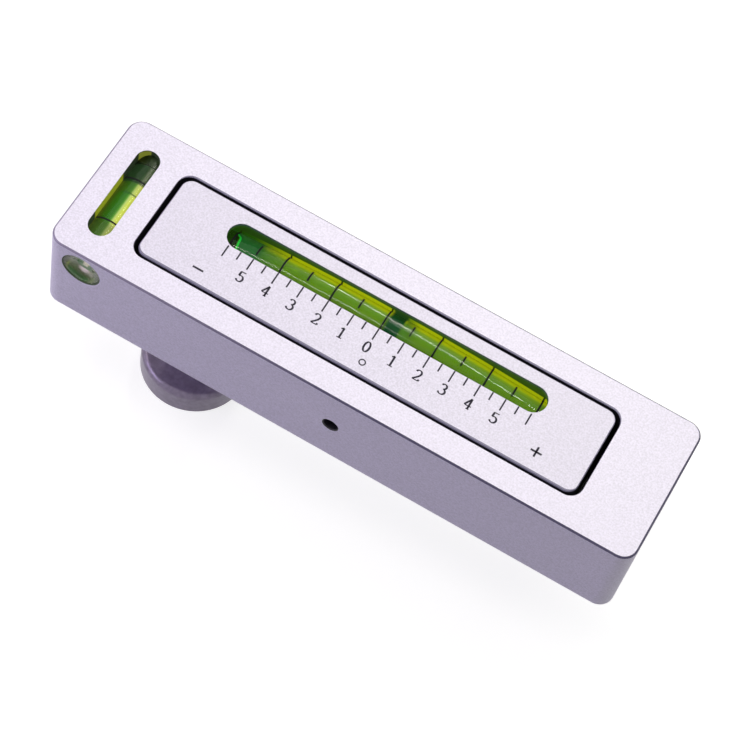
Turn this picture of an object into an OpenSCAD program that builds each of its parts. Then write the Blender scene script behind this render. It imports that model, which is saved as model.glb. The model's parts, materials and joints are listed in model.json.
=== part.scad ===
// Camber caster gauge: a machined bar, a rocking scale block with a curved camber vial,
// a cross vial in the bar, and a magnet foot on a ball joint. Millimetres, +Z up.
// The origin is under the middle of the bar, on the magnet's contact face.
// +X runs along the bar to the positive end of the scale, +Y to the back.

/* [Bar] */
// Length of the bar
bar_l = 140; // [138:1:170]
// Width of the bar
bar_w = 36.5; // [35:0.5:46]
// Thickness of the bar's floor under the pocket
floor_t = 7.5; // [6:0.1:12]
// Radius of the bar's upright corners
bar_corner_r = 3.5; // [2:0.5:6]
// Chamfer round the bar's top and bottom edges
bar_chamfer = 0.4; // [0.2:0.1:1]
// Chamfer round the holes in the bar's sides
hole_chamfer = 0.25; // [0.1:0.05:0.4]

/* [Scale block] */
// Solid length of the bar beyond each end of the pocket
end_land = 16.1; // [14.5:0.1:20]
// Width of the scale block
block_w = 22; // [20.4:0.2:24]
// Corner radius of the scale block, seen from above
block_corner_r = 2.5; // [1:0.5:5]
// Chamfer round the scale block's edges
block_chamfer = 0.2; // [0.1:0.1:0.6]
// Chamfer round the pocket's rim
rim_chamfer = 0.1; // [0.05:0.05:0.5]
// Gap between block and pocket at each end
end_gap = 1.1; // [1:0.1:2]
// Gap between block and pocket along each side
side_gap = 0.6; // [0.5:0.1:1.5]
// Gap under the block, which lets it rock
rock_gap = 1.5; // [1.4:0.1:2]
// Thickness of the scale face over the vial's chamber
face_t = 1.5; // [1:0.1:2.5]
// Wall of the block beyond each end of the vial's chamber
chamber_end_t = 5; // [3:0.1:8]
// Corner radius of the vial's chamber
chamber_corner_r = 1; // [0.5:0.1:2]
// Width of the reading window
window_w = 6.6; // [5:0.1:7.4]
// Distance of the window and vial behind the bar's middle line
vial_y = 4.5; // [3.5:0.1:4.6]

/* [Pivot and calibration] */
// Distance of the pivot pin from the bar's middle, to the positive end
pin_x = 0.7; // [-1:0.1:1]
// Diameter of the pivot pin
pin_d = 3.5; // [2.5:0.1:4]
// Length of the pivot pin
pin_l = 29; // [26:0.5:33]
// Wall of the rolled pivot pin
pin_wall = 0.7; // [0.4:0.1:1]
// Slit of the rolled pivot pin
pin_slit = 0.8; // [0.4:0.1:1.2]
// Gap between the pivot pin and the tube above it
pin_gap = 1.35; // [1:0.05:2]
// Height of the pivot's axis above the block's underside
pin_rise = 4; // [3:0.1:5]
// Distance between the two calibration screws
cal_spacing = 42; // [30:1:44]
// Distance of the calibration screws in front of the middle line
cal_y = 5.4; // [4:0.1:7]
// Diameter of a calibration screw
cal_d = 4; // [3:0.5:5]
// Recess of the calibration screws in the bar's underside
cal_recess = 1.9; // [1:0.1:3]
// Height of the cone on a calibration screw's tip
cal_tip_h = 0.8; // [0.4:0.1:1.2]
// Key size of a calibration screw, across flats
cal_key = 2; // [1.5:0.1:2.5]
// Gap between a screw's tip and the block
tip_gap = 0.1; // [0.05:0.05:0.3]

/* [Camber vial] */
// Outer diameter of the glass tube
vial_d = 8; // [7.6:0.1:8.4]
// Wall of the glass tube
vial_wall = 1; // [0.7:0.1:1.4]
// Travel of the bubble for each degree of camber
degree_pitch = 6.13; // [5:0.01:9]
// Depth of the tube's crown under the scale face at mid-length
vial_cover = 0.9; // [0.6:0.1:1.2]
// Length of the stopper in each end of the tube
stopper_l = 3; // [2:0.5:5]
// Length of the resin bed that holds each end of the tube
bed_l = 8; // [5:0.5:10]
// Length of the scale face between a resin bed and the window
bed_cover = 1.1; // [0.5:0.1:3]
// Length of the camber bubble
bubble_l = 8.6; // [6:0.2:10]
// Height of both bubbles
bubble_h = 2; // [1.5:0.1:2.5]

/* [Cross vial] */
// Distance of the cross vial's axis from the negative end of the bar
cross_inset = 8.7; // [7.7:0.1:9]
// Depth of the cross vial's axis under the bar's top face
cross_depth = 6; // [5:0.1:7]
// Diameter of the cross vial's bore
cross_bore_d = 9; // [8.4:0.1:9.4]
// Outer diameter of the cross vial
cross_d = 8.8; // [8.2:0.1:8.8]
// Diameter of the cross vial's chamber at mid-length
cross_chamber_d = 6; // [5:0.1:6.4]
// Recess of the cross vial's end inside the bar's front face
cross_recess = 0.3; // [0.2:0.1:1.5]
// Distance from the cross vial's inner end to the bar's back face
cross_back_t = 4.8; // [3:0.1:8]
// Length of the stopper in the cross vial's inner end
cross_stopper_l = 3.2; // [2:0.1:5]
// Thickness of the cross vial's front end
cross_end_t = 3.6; // [2.4:0.2:4.4]
// Radius of the dish in the cross vial's front end
cross_dish_r = 9; // [7:0.5:14]
// Depth of that dish
cross_dish_depth = 0.8; // [0.3:0.1:1]
// Distance of the cross vial's window from the negative end of the bar, to its middle
cross_window_inset = 8; // [7.6:0.1:8.7]
// Width of the bar's top face beyond each end of the cross vial's window
cross_window_land = 6; // [5:0.05:10]
// Width of the cross vial's window
cross_window_w = 5.5; // [4:0.1:6]
// Radius of the barrel shape inside the cross vial
cross_barrel_r = 500; // [300:10:900]
// Length of the cross bubble
cross_bubble_l = 8.4; // [6:0.2:10]

/* [Ball joint] */
// Distance of the foot's axis from the negative end of the bar
foot_inset = 30; // [28:0.5:34]
// Diameter of the ball
ball_d = 6.5; // [5.5:0.1:6.8]
// Wall of the ball's plastic seat
seat_t = 0.6; // [0.4:0.1:0.7]
// Diameter of the stud's neck
neck_d = 3.6; // [3:0.1:3.8]
// Diameter of the stud's post
post_d = 9; // [8:0.5:11]
// Length of the stud's post, down to the space over the cap
post_l = 5.75; // [4:0.05:15]
// Width across the post's spanner flats
post_af = 8; // [7:0.1:8.6]
// Diameter of the stud's shank
shank_d = 5; // [4:0.5:6]
// Width of the lock nut across flats
nut_af = 8; // [7.5:0.1:9]
// Height of the lock nut
nut_h = 2.7; // [2:0.1:4]
// Outer diameter of the socket
socket_d = 11.2; // [10.8:0.1:13]
// Width across the socket's spanner flats
socket_af = 9.8; // [9.6:0.1:10.4]
// Diameter of the joint between socket base and cap
socket_thread_d = 9.5; // [9.3:0.1:9.7]
// Height of the socket base's flange
flange_h = 5; // [4:0.5:7]
// Floor between the foot screw and the ball's seat
socket_web = 0.8; // [0.5:0.1:2]
// Height of the socket cap above the ball's centre
cap_rise = 3.4; // [3.2:0.1:3.6]
// Space between the cap and the stud's post
tilt_space = 1.7; // [1.5:0.1:4]

/* [Magnet foot] */
// Diameter of the magnet's steel cup
cup_d = 25; // [22:0.5:32]
// Height of the steel cup
cup_h = 7; // [6:0.1:10]
// Radius of the cup's rounded shoulder
cup_shoulder_r = 1.6; // [0.5:0.1:1.8]
// Wall of the cup
cup_wall = 2; // [1.2:0.1:3]
// Thickness of the cup's top
cup_top_t = 2; // [1.9:0.1:3]
// Gap between magnet and cup, filled with resin
potting_t = 0.8; // [0.5:0.1:1.5]
// Diameter of the hole through the magnet
magnet_hole_d = 9; // [8.4:0.1:10]
// Recess of the magnet behind the cup's rim
magnet_recess = 0.2; // [0.1:0.1:0.5]
// Diameter of the foot screw
screw_d = 4; // [3:0.5:4.5]
// Diameter of the foot screw's countersunk head
screw_head_d = 7.6; // [7:0.1:8]
// Key size of the foot screw, across flats
screw_key = 2.5; // [2:0.1:3]

/* [Fits] */
// Radial clearance of the turning and sliding fits
run_fit = 0.05; // [0.02:0.01:0.1]
// Gap round the tube in its chamber
chamber_gap = 0.3; // [0.2:0.05:0.4]
// Gap between a bubble and the glass or fluid
bubble_gap = 0.2; // [0.15:0.05:0.3]

/* [Hidden] */
$fn = 64;
cut = 1;

cup_r = cup_d / 2;
magnet_z = magnet_recess;
magnet_top_z = cup_h - cup_top_t;
magnet_r = cup_r - cup_wall - potting_t;
screw_r = screw_d / 2;
head_r = screw_head_d / 2;
head_land = 0.2;
head_h = cup_top_t - head_land;

foot_x = -bar_l / 2 + foot_inset;
ball_r = ball_d / 2;
seat_inner_r = ball_r + run_fit;
seat_outer_r = seat_inner_r + seat_t;
cavity_r = seat_outer_r + run_fit;
ball_z = cup_h + flange_h + socket_web + cavity_r;
seat_top_angle = 50;
seat_bottom_angle = 45;
seat_rise = seat_outer_r * cos(seat_top_angle);
seat_drop = seat_outer_r * cos(seat_bottom_angle);
lip_angle = 47;
lip_r = cavity_r * sin(lip_angle);
lip_rise = cavity_r * cos(lip_angle);
mouth_slope = 0.5;
mouth_h = cap_rise - lip_rise + cut;
cap_top_z = ball_z + cap_rise;
post_z = cap_top_z + tilt_space;
post_top_z = post_z + post_l;
post_chamfer = 1;
nut_chamfer = 0.35;
cap_chamfer = 0.8;
flange_gap = 0.2;

bar_lift = post_top_z + nut_h;
pocket_floor_z = bar_lift + floor_t;
block_z = pocket_floor_z + rock_gap;
pin_r = pin_d / 2;
pin_z = block_z + pin_rise;
block_h = pin_rise + pin_r + pin_gap + vial_d + vial_cover;
top_z = block_z + block_h;
bar_h = top_z - bar_lift;
pocket_l = bar_l - 2 * end_land;
block_l = pocket_l - 2 * end_gap;
pocket_w = block_w + 2 * side_gap;
pocket_corner_r = block_corner_r + side_gap;

cal_r = cal_d / 2 - run_fit;
cal_z = bar_lift + cal_recess;
cal_l = block_z - tip_gap - cal_z;
key_depth = 2.5;

vial_r = vial_d / 2;
vial_inner_r = vial_r - vial_wall;
bubble_path_r = degree_pitch * 180 / PI;
vial_arc_r = bubble_path_r - vial_inner_r;
vial_crown_z = top_z - vial_cover - vial_r;
arc_z = vial_crown_z - vial_arc_r;
chamber_w = vial_d + 2 * chamber_gap;
chamber_l = block_l - 2 * chamber_end_t;
vial_l = chamber_l - 2 * chamber_gap;
window_l = chamber_l - 2 * bed_l - 2 * bed_cover;
vial_half_angle = asin(vial_l / 2 / (vial_arc_r + vial_r));
stopper_angle = asin(stopper_l / vial_arc_r);
fluid_level = vial_inner_r - bubble_h - bubble_gap;
bubble_end_angle = vial_half_angle - stopper_angle - asin((bubble_l / 2 + bubble_gap) / vial_arc_r);

cross_x = -bar_l / 2 + cross_inset;
cross_z = top_z - cross_depth;
cross_window_x = -bar_l / 2 + cross_window_inset;
cross_front_y = -bar_w / 2 + cross_recess;
cross_l = bar_w - cross_recess - cross_back_t;
cross_chamber_l = cross_l - cross_end_t - cross_stopper_l;
cross_window_l = bar_w - 2 * cross_window_land;
cross_chamber_y = cross_front_y + cross_end_t;
cross_mid_y = cross_chamber_y + cross_chamber_l / 2;
cross_chamber_r = cross_chamber_d / 2;
cross_level = cross_chamber_r - bubble_h - bubble_gap;
cross_plug_r = barrel_r(cross_chamber_l / 2);
barrel_steps = 8;
cross_end_gap = 0.2;

// A rounded rectangle from squares and circles, centred
module round_rect(l, w, r) {
    square([l - 2 * r, w], center = true);
    square([l, w - 2 * r], center = true);
    for (x = [-1, 1], y = [-1, 1])
        translate([x * (l / 2 - r), y * (w / 2 - r)]) circle(r);
}

// The outline of one edge, from bottom to top: each end is cut back by a chamfer, or flared if negative
function edge_points(half, h, bottom, top) = concat(
    bottom == 0 ? [[half, 0]] : [[half - bottom, 0], [half, abs(bottom)]],
    [[half, h - abs(top)], [half - top, h]]);

// Half of a turned outline, from the axis out
function turned_outline(r, h, bottom, top) = concat([[0, 0]], edge_points(r, h, bottom, top), [[0, h]]);

// A whole outline, alike on both sides
function mirrored_outline(half, h, bottom, top) =
    let (side = edge_points(half, h, bottom, top))
    concat(side, [for (i = [len(side) - 1:-1:0]) [-side[i][0], side[i][1]]]);

// A block with round upright corners whose bottom and top edges are chamfered all round
module edged_block(l, w, h, r, bottom, top) {
    translate([0, w / 2 - r, 0])
        rotate([90, 0, 0])
            linear_extrude(w - 2 * r) polygon(mirrored_outline(l / 2, h, bottom, top));
    translate([r - l / 2, 0, 0])
        rotate([90, 0, 90])
            linear_extrude(l - 2 * r) polygon(mirrored_outline(w / 2, h, bottom, top));
    for (x = [-1, 1], y = [-1, 1])
        translate([x * (l / 2 - r), y * (w / 2 - r), 0])
            rotate_extrude() polygon(turned_outline(r, h, bottom, top));
}

// A slot with round ends along X
module slot_prism(l, w, h) {
    linear_extrude(h) {
        square([l - w, w], center = true);
        for (x = [-1, 1])
            translate([x * (l - w) / 2, 0]) circle(w / 2);
    }
}

// Sweeps a 2D section along the vial's arc from one angle to the other; the section's +X points up
module along_vial(from, to) {
    translate([0, vial_y, arc_z])
        rotate([90, 0, 0])
            rotate([0, 0, 90 - to])
                rotate_extrude(angle = to - from, $fn = 360)
                    translate([vial_arc_r, 0]) children();
}

// A hexagonal prism of a given width across flats
module hex_prism(af, h) {
    cylinder(h = h, r = af / 2 / cos(30), $fn = 6);
}

// Cuts two spanner flats in the round piece it is given, between two heights
module with_flats(d, af, z0, z1) {
    difference() {
        children();
        for (side = [-1, 1])
            translate([side * (af + d) / 2, 0, (z0 + z1) / 2]) cube([d, d, z1 - z0], center = true);
    }
}

// The cone that chamfers the rim of a hole in the bar's front (-1) or back (1) face
module hole_rim(x, z, r, side) {
    translate([x, side * (bar_w / 2 + cut), z])
        rotate([side * 90, 0, 0])
            cylinder(h = hole_chamfer + cut, r1 = r + hole_chamfer + cut, r2 = r);
}

module body_bar() {
    color("#c9c4d6")
    difference() {
        translate([0, 0, bar_lift])
            edged_block(bar_l, bar_w, bar_h, bar_corner_r, bar_chamfer, bar_chamfer);
        translate([0, 0, pocket_floor_z])
            edged_block(pocket_l, pocket_w, bar_h - floor_t + cut, pocket_corner_r, 0, -rim_chamfer - cut);
        translate([pin_x, bar_w / 2 + cut, pin_z])
            rotate([90, 0, 0]) cylinder(h = bar_w + 2 * cut, r = pin_r);
        for (side = [-1, 1])
            hole_rim(pin_x, pin_z, pin_r, side);
        translate([cross_x, cross_front_y + cross_l + cross_end_gap, cross_z])
            rotate([90, 0, 0]) cylinder(h = bar_w + cut, r = cross_bore_d / 2);
        hole_rim(cross_x, cross_z, cross_bore_d / 2, -1);
        translate([cross_window_x, 0, cross_z])
            rotate([0, 0, 90]) slot_prism(cross_window_l, cross_window_w, cross_depth + cut);
        translate([foot_x, 0, bar_lift - cut])
            cylinder(h = floor_t + 2 * cut, r = shank_d / 2);
        for (side = [-1, 1])
            translate([pin_x + side * cal_spacing / 2, -cal_y, bar_lift - cut])
                cylinder(h = floor_t + 2 * cut, r = cal_d / 2);
    }
}

module scale_block() {
    color("#d6d1e0")
    difference() {
        translate([0, 0, block_z])
            edged_block(block_l, block_w, block_h, block_corner_r, block_chamfer, block_chamfer);
        translate([0, vial_y, block_z - cut])
            linear_extrude(block_h - face_t + cut) round_rect(chamber_l, chamber_w, chamber_corner_r);
        translate([0, vial_y, top_z - face_t - cut])
            slot_prism(window_l, window_w, face_t + 2 * cut);
        translate([pin_x, bar_w / 2, pin_z])
            rotate([90, 0, 0]) cylinder(h = bar_w, r = pin_r + run_fit);
    }
}

module pivot_pin() {
    color("#8a8a90")
    translate([pin_x, pin_l / 2, pin_z])
        rotate([90, 0, 0])
            linear_extrude(pin_l)
                difference() {
                    circle(pin_r);
                    circle(pin_r - pin_wall);
                    translate([-pin_slit / 2, 0]) square([pin_slit, pin_d]);
                }
}

module calibration_screw(side) {
    color("#3a3a40")
    translate([pin_x + side * cal_spacing / 2, -cal_y, cal_z])
        difference() {
            union() {
                cylinder(h = cal_l - cal_tip_h, r = cal_r);
                translate([0, 0, cal_l - cal_tip_h])
                    cylinder(h = cal_tip_h, r1 = cal_r, r2 = cal_r - cal_tip_h);
            }
            translate([0, 0, -cut]) hex_prism(cal_key, key_depth + cut);
        }
}

module camber_tube() {
    color("#b8d8a0", 0.5)
    along_vial(-vial_half_angle, vial_half_angle)
        difference() {
            circle(vial_r);
            circle(vial_inner_r);
        }
}

module camber_fluid() {
    end = vial_half_angle - stopper_angle;
    color("#7cb518")
    along_vial(-end, end)
        intersection() {
            circle(vial_inner_r);
            translate([fluid_level - vial_d, -vial_r]) square([vial_d, vial_d]);
        }
}

module camber_bubble() {
    reach = asin(bubble_l / vial_arc_r);
    color("#2e8b57")
    translate([0, vial_y, arc_z])
        rotate([0, -bubble_end_angle, 0])
            translate([0, -vial_y, -arc_z])
                intersection() {
                    along_vial(-reach, reach)
                        intersection() {
                            circle(vial_inner_r - bubble_gap);
                            translate([vial_inner_r - bubble_h, -vial_r]) square([bubble_h, vial_d]);
                        }
                    translate([0, vial_y, vial_crown_z])
                        slot_prism(bubble_l, 2 * vial_inner_r - 2 * bubble_gap, vial_d);
                }
}

module camber_stopper(side) {
    color("#e8e4d0")
    mirror([side < 0 ? 1 : 0, 0, 0])
        along_vial(vial_half_angle - stopper_angle, vial_half_angle) circle(vial_inner_r);
}

module vial_bed(side) {
    color("#f0ece0")
    mirror([side < 0 ? 1 : 0, 0, 0])
        difference() {
            intersection() {
                translate([0, vial_y, block_z + block_chamfer])
                    linear_extrude(block_h - face_t - block_chamfer) round_rect(chamber_l, chamber_w, chamber_corner_r);
                translate([chamber_l / 2 - bed_l, vial_y - chamber_w, block_z])
                    cube([bed_l + cut, 2 * chamber_w, block_h]);
            }
            along_vial(0, vial_half_angle) circle(vial_r);
        }
}

// Radius of the cross vial's barrel-shaped chamber at a distance from its middle
function barrel_r(y) = cross_chamber_r - cross_barrel_r + sqrt(pow(cross_barrel_r, 2) - pow(y, 2));

// The barrel-shaped space inside the cross vial, along Y, less a radial clearance
module cross_barrel(clear) {
    half = cross_chamber_l / 2;
    arc = [for (i = [0:barrel_steps]) let (y = (2 * i / barrel_steps - 1) * half) [barrel_r(y) - clear, y]];
    translate([cross_x, cross_mid_y, cross_z])
        rotate([90, 0, 0])
            rotate_extrude() polygon(concat([[0, -half]], arc, [[0, half]]));
}

module cross_tube() {
    color("#a8d080", 0.5)
    difference() {
        translate([cross_x, cross_front_y + cross_l, cross_z])
            rotate([90, 0, 0]) cylinder(h = cross_l, r = cross_d / 2);
        cross_barrel(0);
        translate([cross_x, cross_front_y + cross_l + cut, cross_z])
            rotate([90, 0, 0])
                cylinder(h = cross_l - cross_end_t - cross_chamber_l / 2, r = cross_plug_r);
        translate([cross_x, cross_front_y + cross_dish_depth - cross_dish_r, cross_z])
            sphere(cross_dish_r);
    }
}

module cross_fluid() {
    color("#7cb518")
    intersection() {
        cross_barrel(0);
        translate([cross_x - cross_d / 2, cross_chamber_y, cross_z - cross_d])
            cube([cross_d, cross_chamber_l, cross_d + cross_level]);
    }
}

module cross_bubble() {
    color("#2e8b57")
    intersection() {
        cross_barrel(bubble_gap);
        translate([cross_x, cross_mid_y, cross_z + cross_chamber_r - bubble_h])
            rotate([0, 0, 90])
                slot_prism(cross_bubble_l, cross_chamber_d - 2 * bubble_gap, cross_d);
    }
}

module cross_stopper() {
    color("#e8e4d0")
    translate([cross_x, cross_front_y + cross_l, cross_z])
        rotate([90, 0, 0]) cylinder(h = cross_stopper_l, r = cross_plug_r);
}

module ball_stud() {
    color("#9a98a2")
    translate([foot_x, 0, 0]) {
        translate([0, 0, ball_z]) sphere(ball_r);
        translate([0, 0, ball_z]) cylinder(h = post_z - ball_z + post_chamfer, r = neck_d / 2);
        with_flats(post_d, post_af, post_z, post_top_z - post_chamfer) {
            translate([0, 0, post_z]) cylinder(h = post_chamfer, r1 = post_d / 2 - post_chamfer, r2 = post_d / 2);
            translate([0, 0, post_z + post_chamfer])
                cylinder(h = post_top_z - post_z - post_chamfer, r = post_d / 2);
        }
        translate([0, 0, post_top_z]) cylinder(h = nut_h + floor_t, r = shank_d / 2);
    }
}

module lock_nut() {
    corner_r = nut_af / 2 / cos(30);
    color("#9a98a2")
    translate([foot_x, 0, post_top_z])
        difference() {
            intersection() {
                hex_prism(nut_af, nut_h);
                rotate_extrude() polygon(turned_outline(corner_r, nut_h, nut_chamfer, nut_chamfer));
            }
            translate([0, 0, -cut]) cylinder(h = nut_h + 2 * cut, r = shank_d / 2);
        }
}

module ball_seat() {
    color("#f2f0e8")
    translate([foot_x, 0, ball_z])
        difference() {
            sphere(seat_outer_r);
            sphere(seat_inner_r);
            translate([0, 0, seat_rise + ball_d / 2]) cube([2 * ball_d, 2 * ball_d, ball_d], center = true);
            translate([0, 0, -seat_drop - ball_d / 2]) cube([2 * ball_d, 2 * ball_d, ball_d], center = true);
        }
}

module socket_base() {
    color("#a5a3ad")
    translate([foot_x, 0, 0])
        difference() {
            with_flats(socket_d, socket_af, cup_h - cut, cup_h + flange_h) {
                translate([0, 0, cup_h]) cylinder(h = flange_h, r = socket_d / 2);
                translate([0, 0, cup_h]) cylinder(h = ball_z - cup_h, r = socket_thread_d / 2);
            }
            translate([0, 0, ball_z]) sphere(cavity_r);
            translate([0, 0, cup_h - cut]) cylinder(h = flange_h + cut, r = screw_r);
        }
}

module socket_cap() {
    skirt_z = cup_h + flange_h + flange_gap;
    color("#b4b2bc")
    translate([foot_x, 0, 0])
        difference() {
            translate([0, 0, skirt_z])
                rotate_extrude()
                    polygon(turned_outline(socket_d / 2, cap_top_z - skirt_z, 0, cap_chamfer));
            translate([0, 0, skirt_z - cut])
                cylinder(h = ball_z + flange_gap - skirt_z + cut, r = socket_thread_d / 2);
            translate([0, 0, ball_z]) sphere(cavity_r);
            translate([0, 0, ball_z + lip_rise])
                cylinder(h = mouth_h, r1 = lip_r, r2 = lip_r + mouth_h * mouth_slope);
        }
}

module magnet_cup() {
    color("#b0aeb8")
    translate([foot_x, 0, 0])
        rotate_extrude()
            difference() {
                union() {
                    square([cup_r - cup_shoulder_r, cup_h]);
                    square([cup_r, cup_h - cup_shoulder_r]);
                    translate([cup_r - cup_shoulder_r, cup_h - cup_shoulder_r]) circle(cup_shoulder_r);
                }
                translate([0, -cut]) square([cup_r - cup_wall, magnet_top_z + cut]);
                translate([0, -cut]) square([screw_r, cup_h + 2 * cut]);
                polygon([[0, magnet_top_z - cut], [head_r, magnet_top_z - cut], [head_r, magnet_top_z],
                    [screw_r, magnet_top_z + head_h], [0, magnet_top_z + head_h]]);
            }
}

module magnet_ring() {
    color("#6e6e76")
    translate([foot_x, 0, magnet_z])
        difference() {
            cylinder(h = magnet_top_z - magnet_z, r = magnet_r);
            translate([0, 0, -cut]) cylinder(h = cup_h, r = magnet_hole_d / 2);
        }
}

module potting_ring() {
    color("#26262a")
    translate([foot_x, 0, magnet_z])
        difference() {
            cylinder(h = magnet_top_z - magnet_z, r = magnet_r + potting_t);
            translate([0, 0, -cut]) cylinder(h = cup_h, r = magnet_r);
        }
}

module foot_screw() {
    color("#8e8e96")
    translate([foot_x, 0, magnet_top_z])
        difference() {
            union() {
                cylinder(h = head_h, r1 = head_r, r2 = screw_r);
                cylinder(h = cup_top_t + flange_h, r = screw_r);
            }
            translate([0, 0, -cut]) hex_prism(screw_key, key_depth + cut);
        }
}

body_bar();
scale_block();
pivot_pin();
calibration_screw(-1);  // calibration_screw_left
calibration_screw(1);  // calibration_screw_right
camber_tube();
camber_fluid();
camber_bubble();
camber_stopper(-1);  // camber_stopper_left
camber_stopper(1);  // camber_stopper_right
vial_bed(-1);  // vial_bed_left
vial_bed(1);  // vial_bed_right
cross_tube();
cross_fluid();
cross_bubble();
cross_stopper();
ball_stud();
lock_nut();
ball_seat();
socket_base();
socket_cap();
magnet_cup();
magnet_ring();
potting_ring();
foot_screw();
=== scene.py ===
"""The looks of a camber caster gauge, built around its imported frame. Sizes are real, and places are in metres."""

import json
import logging
import math
from dataclasses import dataclass, field
from enum import Enum

import bpy
import numpy as np
from mathutils import Matrix, Vector


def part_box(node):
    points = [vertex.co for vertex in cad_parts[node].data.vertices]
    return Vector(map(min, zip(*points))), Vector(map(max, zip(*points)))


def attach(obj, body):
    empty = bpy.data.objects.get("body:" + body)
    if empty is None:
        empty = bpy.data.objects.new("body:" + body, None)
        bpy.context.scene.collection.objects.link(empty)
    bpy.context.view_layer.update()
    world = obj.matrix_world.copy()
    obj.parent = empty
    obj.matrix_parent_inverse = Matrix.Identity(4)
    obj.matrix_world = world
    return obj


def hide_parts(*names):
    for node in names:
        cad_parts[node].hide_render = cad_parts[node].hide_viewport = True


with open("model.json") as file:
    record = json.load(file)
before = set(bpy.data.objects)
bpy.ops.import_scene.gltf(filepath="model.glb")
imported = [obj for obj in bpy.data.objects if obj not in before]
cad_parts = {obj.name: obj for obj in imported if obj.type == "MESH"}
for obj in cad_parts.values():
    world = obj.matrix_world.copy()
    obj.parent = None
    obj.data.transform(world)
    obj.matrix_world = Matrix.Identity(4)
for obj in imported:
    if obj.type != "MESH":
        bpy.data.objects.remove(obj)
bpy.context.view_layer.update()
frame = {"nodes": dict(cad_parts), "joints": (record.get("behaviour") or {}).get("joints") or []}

Tree = bpy.types.NodeTree
Socket = bpy.types.NodeSocket
Material = bpy.types.Material
Colour = tuple[float, float, float, float]
Stops = tuple[tuple[float, str | float], ...]

MM = 0.001
# A length too small to matter, which keeps a test from failing on its own edge
HAIR = 1e-7
BLACK: Colour = (0.0, 0.0, 0.0, 1.0)
WHITE: Colour = (1.0, 1.0, 1.0, 1.0)
SHARP_EDGE = math.radians(35)
log = logging.getLogger("gauge")

# The turns of the corners of one ring of a tube, from its underside round to it again
ROUND = np.linspace(-math.pi, math.pi, 96, endpoint=False)


class Body(Enum):
    """The moving groups of pieces, by their names in the frame."""

    BAR = "bar"
    SCALE = "scale"
    CAMBER_AIR = "camber_air"
    CROSS_AIR = "cross_air"


class Slot(Enum):
    """The names of the record's material slots for glass, fluid and air. No piece here takes its finish from them.
    """

    GLASS = "vial_glass"
    FLUID = "vial_fluid"
    AIR = "bubble"


class Ends(Enum):
    """How the two ends of a carried profile are closed."""

    CAPPED = "capped"
    JOINED = "joined"


# Colours and shader nodes


def linear(code: str) -> Colour:
    """Turns an sRGB colour code into the linear colour that shaders use.

    Args:
        code: Six hex digits after a hash sign.

    Returns:
        Linear red, green and blue, with an alpha of 1.
    """
    values = [int(code[i:i + 2], 16) / 255 for i in (1, 3, 5)]
    red, green, blue = [v / 12.92 if v <= 0.04045 else ((v + 0.055) / 1.055) ** 2.4 for v in values]
    return red, green, blue, 1.0


def add_node(tree: Tree, kind: str, *values: object, named: dict | None = None, out: int | str = 0,
             stops: Stops = (), **settings: object) -> Socket | None:
    """Adds one node with its settings, input values and links.

    Args:
        tree: The node tree.
        kind: The node's type without its leading "ShaderNode", and after a space its operation, if it has one.
        values: For the inputs in order, a value, or the output socket that is linked to it.
        named: The same for inputs by name or number.
        out: The output that is wanted, by name or number.
        stops: For a colour ramp, pairs of place and colour code or grey value, from 0 to 1.
        settings: Properties of the node.

    Returns:
        The socket of that output, or nothing where the node has none.
    """
    kind, _, operation = kind.partition(" ")
    node = tree.nodes.new("ShaderNode" + kind)
    if operation:
        node.operation = operation
    for name, value in settings.items():
        setattr(node, name, value)
    for name, value in {**dict(enumerate(values)), **(named or {})}.items():
        if isinstance(value, Socket):
            tree.links.new(value, node.inputs[name])
        else:
            node.inputs[name].default_value = value
    if stops:
        elements = node.color_ramp.elements
        while len(elements) < len(stops):
            elements.new(0.5)
        for element, (place, shade) in zip(elements, stops):
            element.position = place
            element.color = linear(shade) if isinstance(shade, str) else (shade, shade, shade, 1.0)
    return node.outputs[out] if len(node.outputs) else None


def painted_over(tree: Tree, base: Socket | Colour, *layers: tuple) -> Socket:
    """Paints colours over a base colour, one after the other.

    Args:
        tree: The node tree.
        base: The base colour.
        layers: For each colour its share, as a socket or a number, and then the colour.

    Returns:
        The socket of the mixed colour.
    """
    for share, colour in layers:
        base = add_node(tree, "Mix", share, named={6: base, 7: colour}, out=2, data_type="RGBA")
    return base


def coloured(tree: Tree, value: Socket, stops: Stops, low: float, high: float, unit: float = 1.0) -> Socket:
    """A colour that goes by a value: its share of the way from low to high picks the place on a ramp.

    Args:
        tree: The node tree.
        value: The socket of the value.
        stops: Pairs of a value and its colour code or grey.
        low: The value at the ramp's start.
        high: The value at the ramp's end.
        unit: How large one unit of the stops is in the socket's value.

    Returns:
        The colour's socket.
    """
    share = add_node(tree, "MapRange", value, low * unit, high * unit)
    return add_node(tree, "ValToRGB", share, stops=tuple(((at - low) / (high - low), shade) for at, shade in stops))


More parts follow.
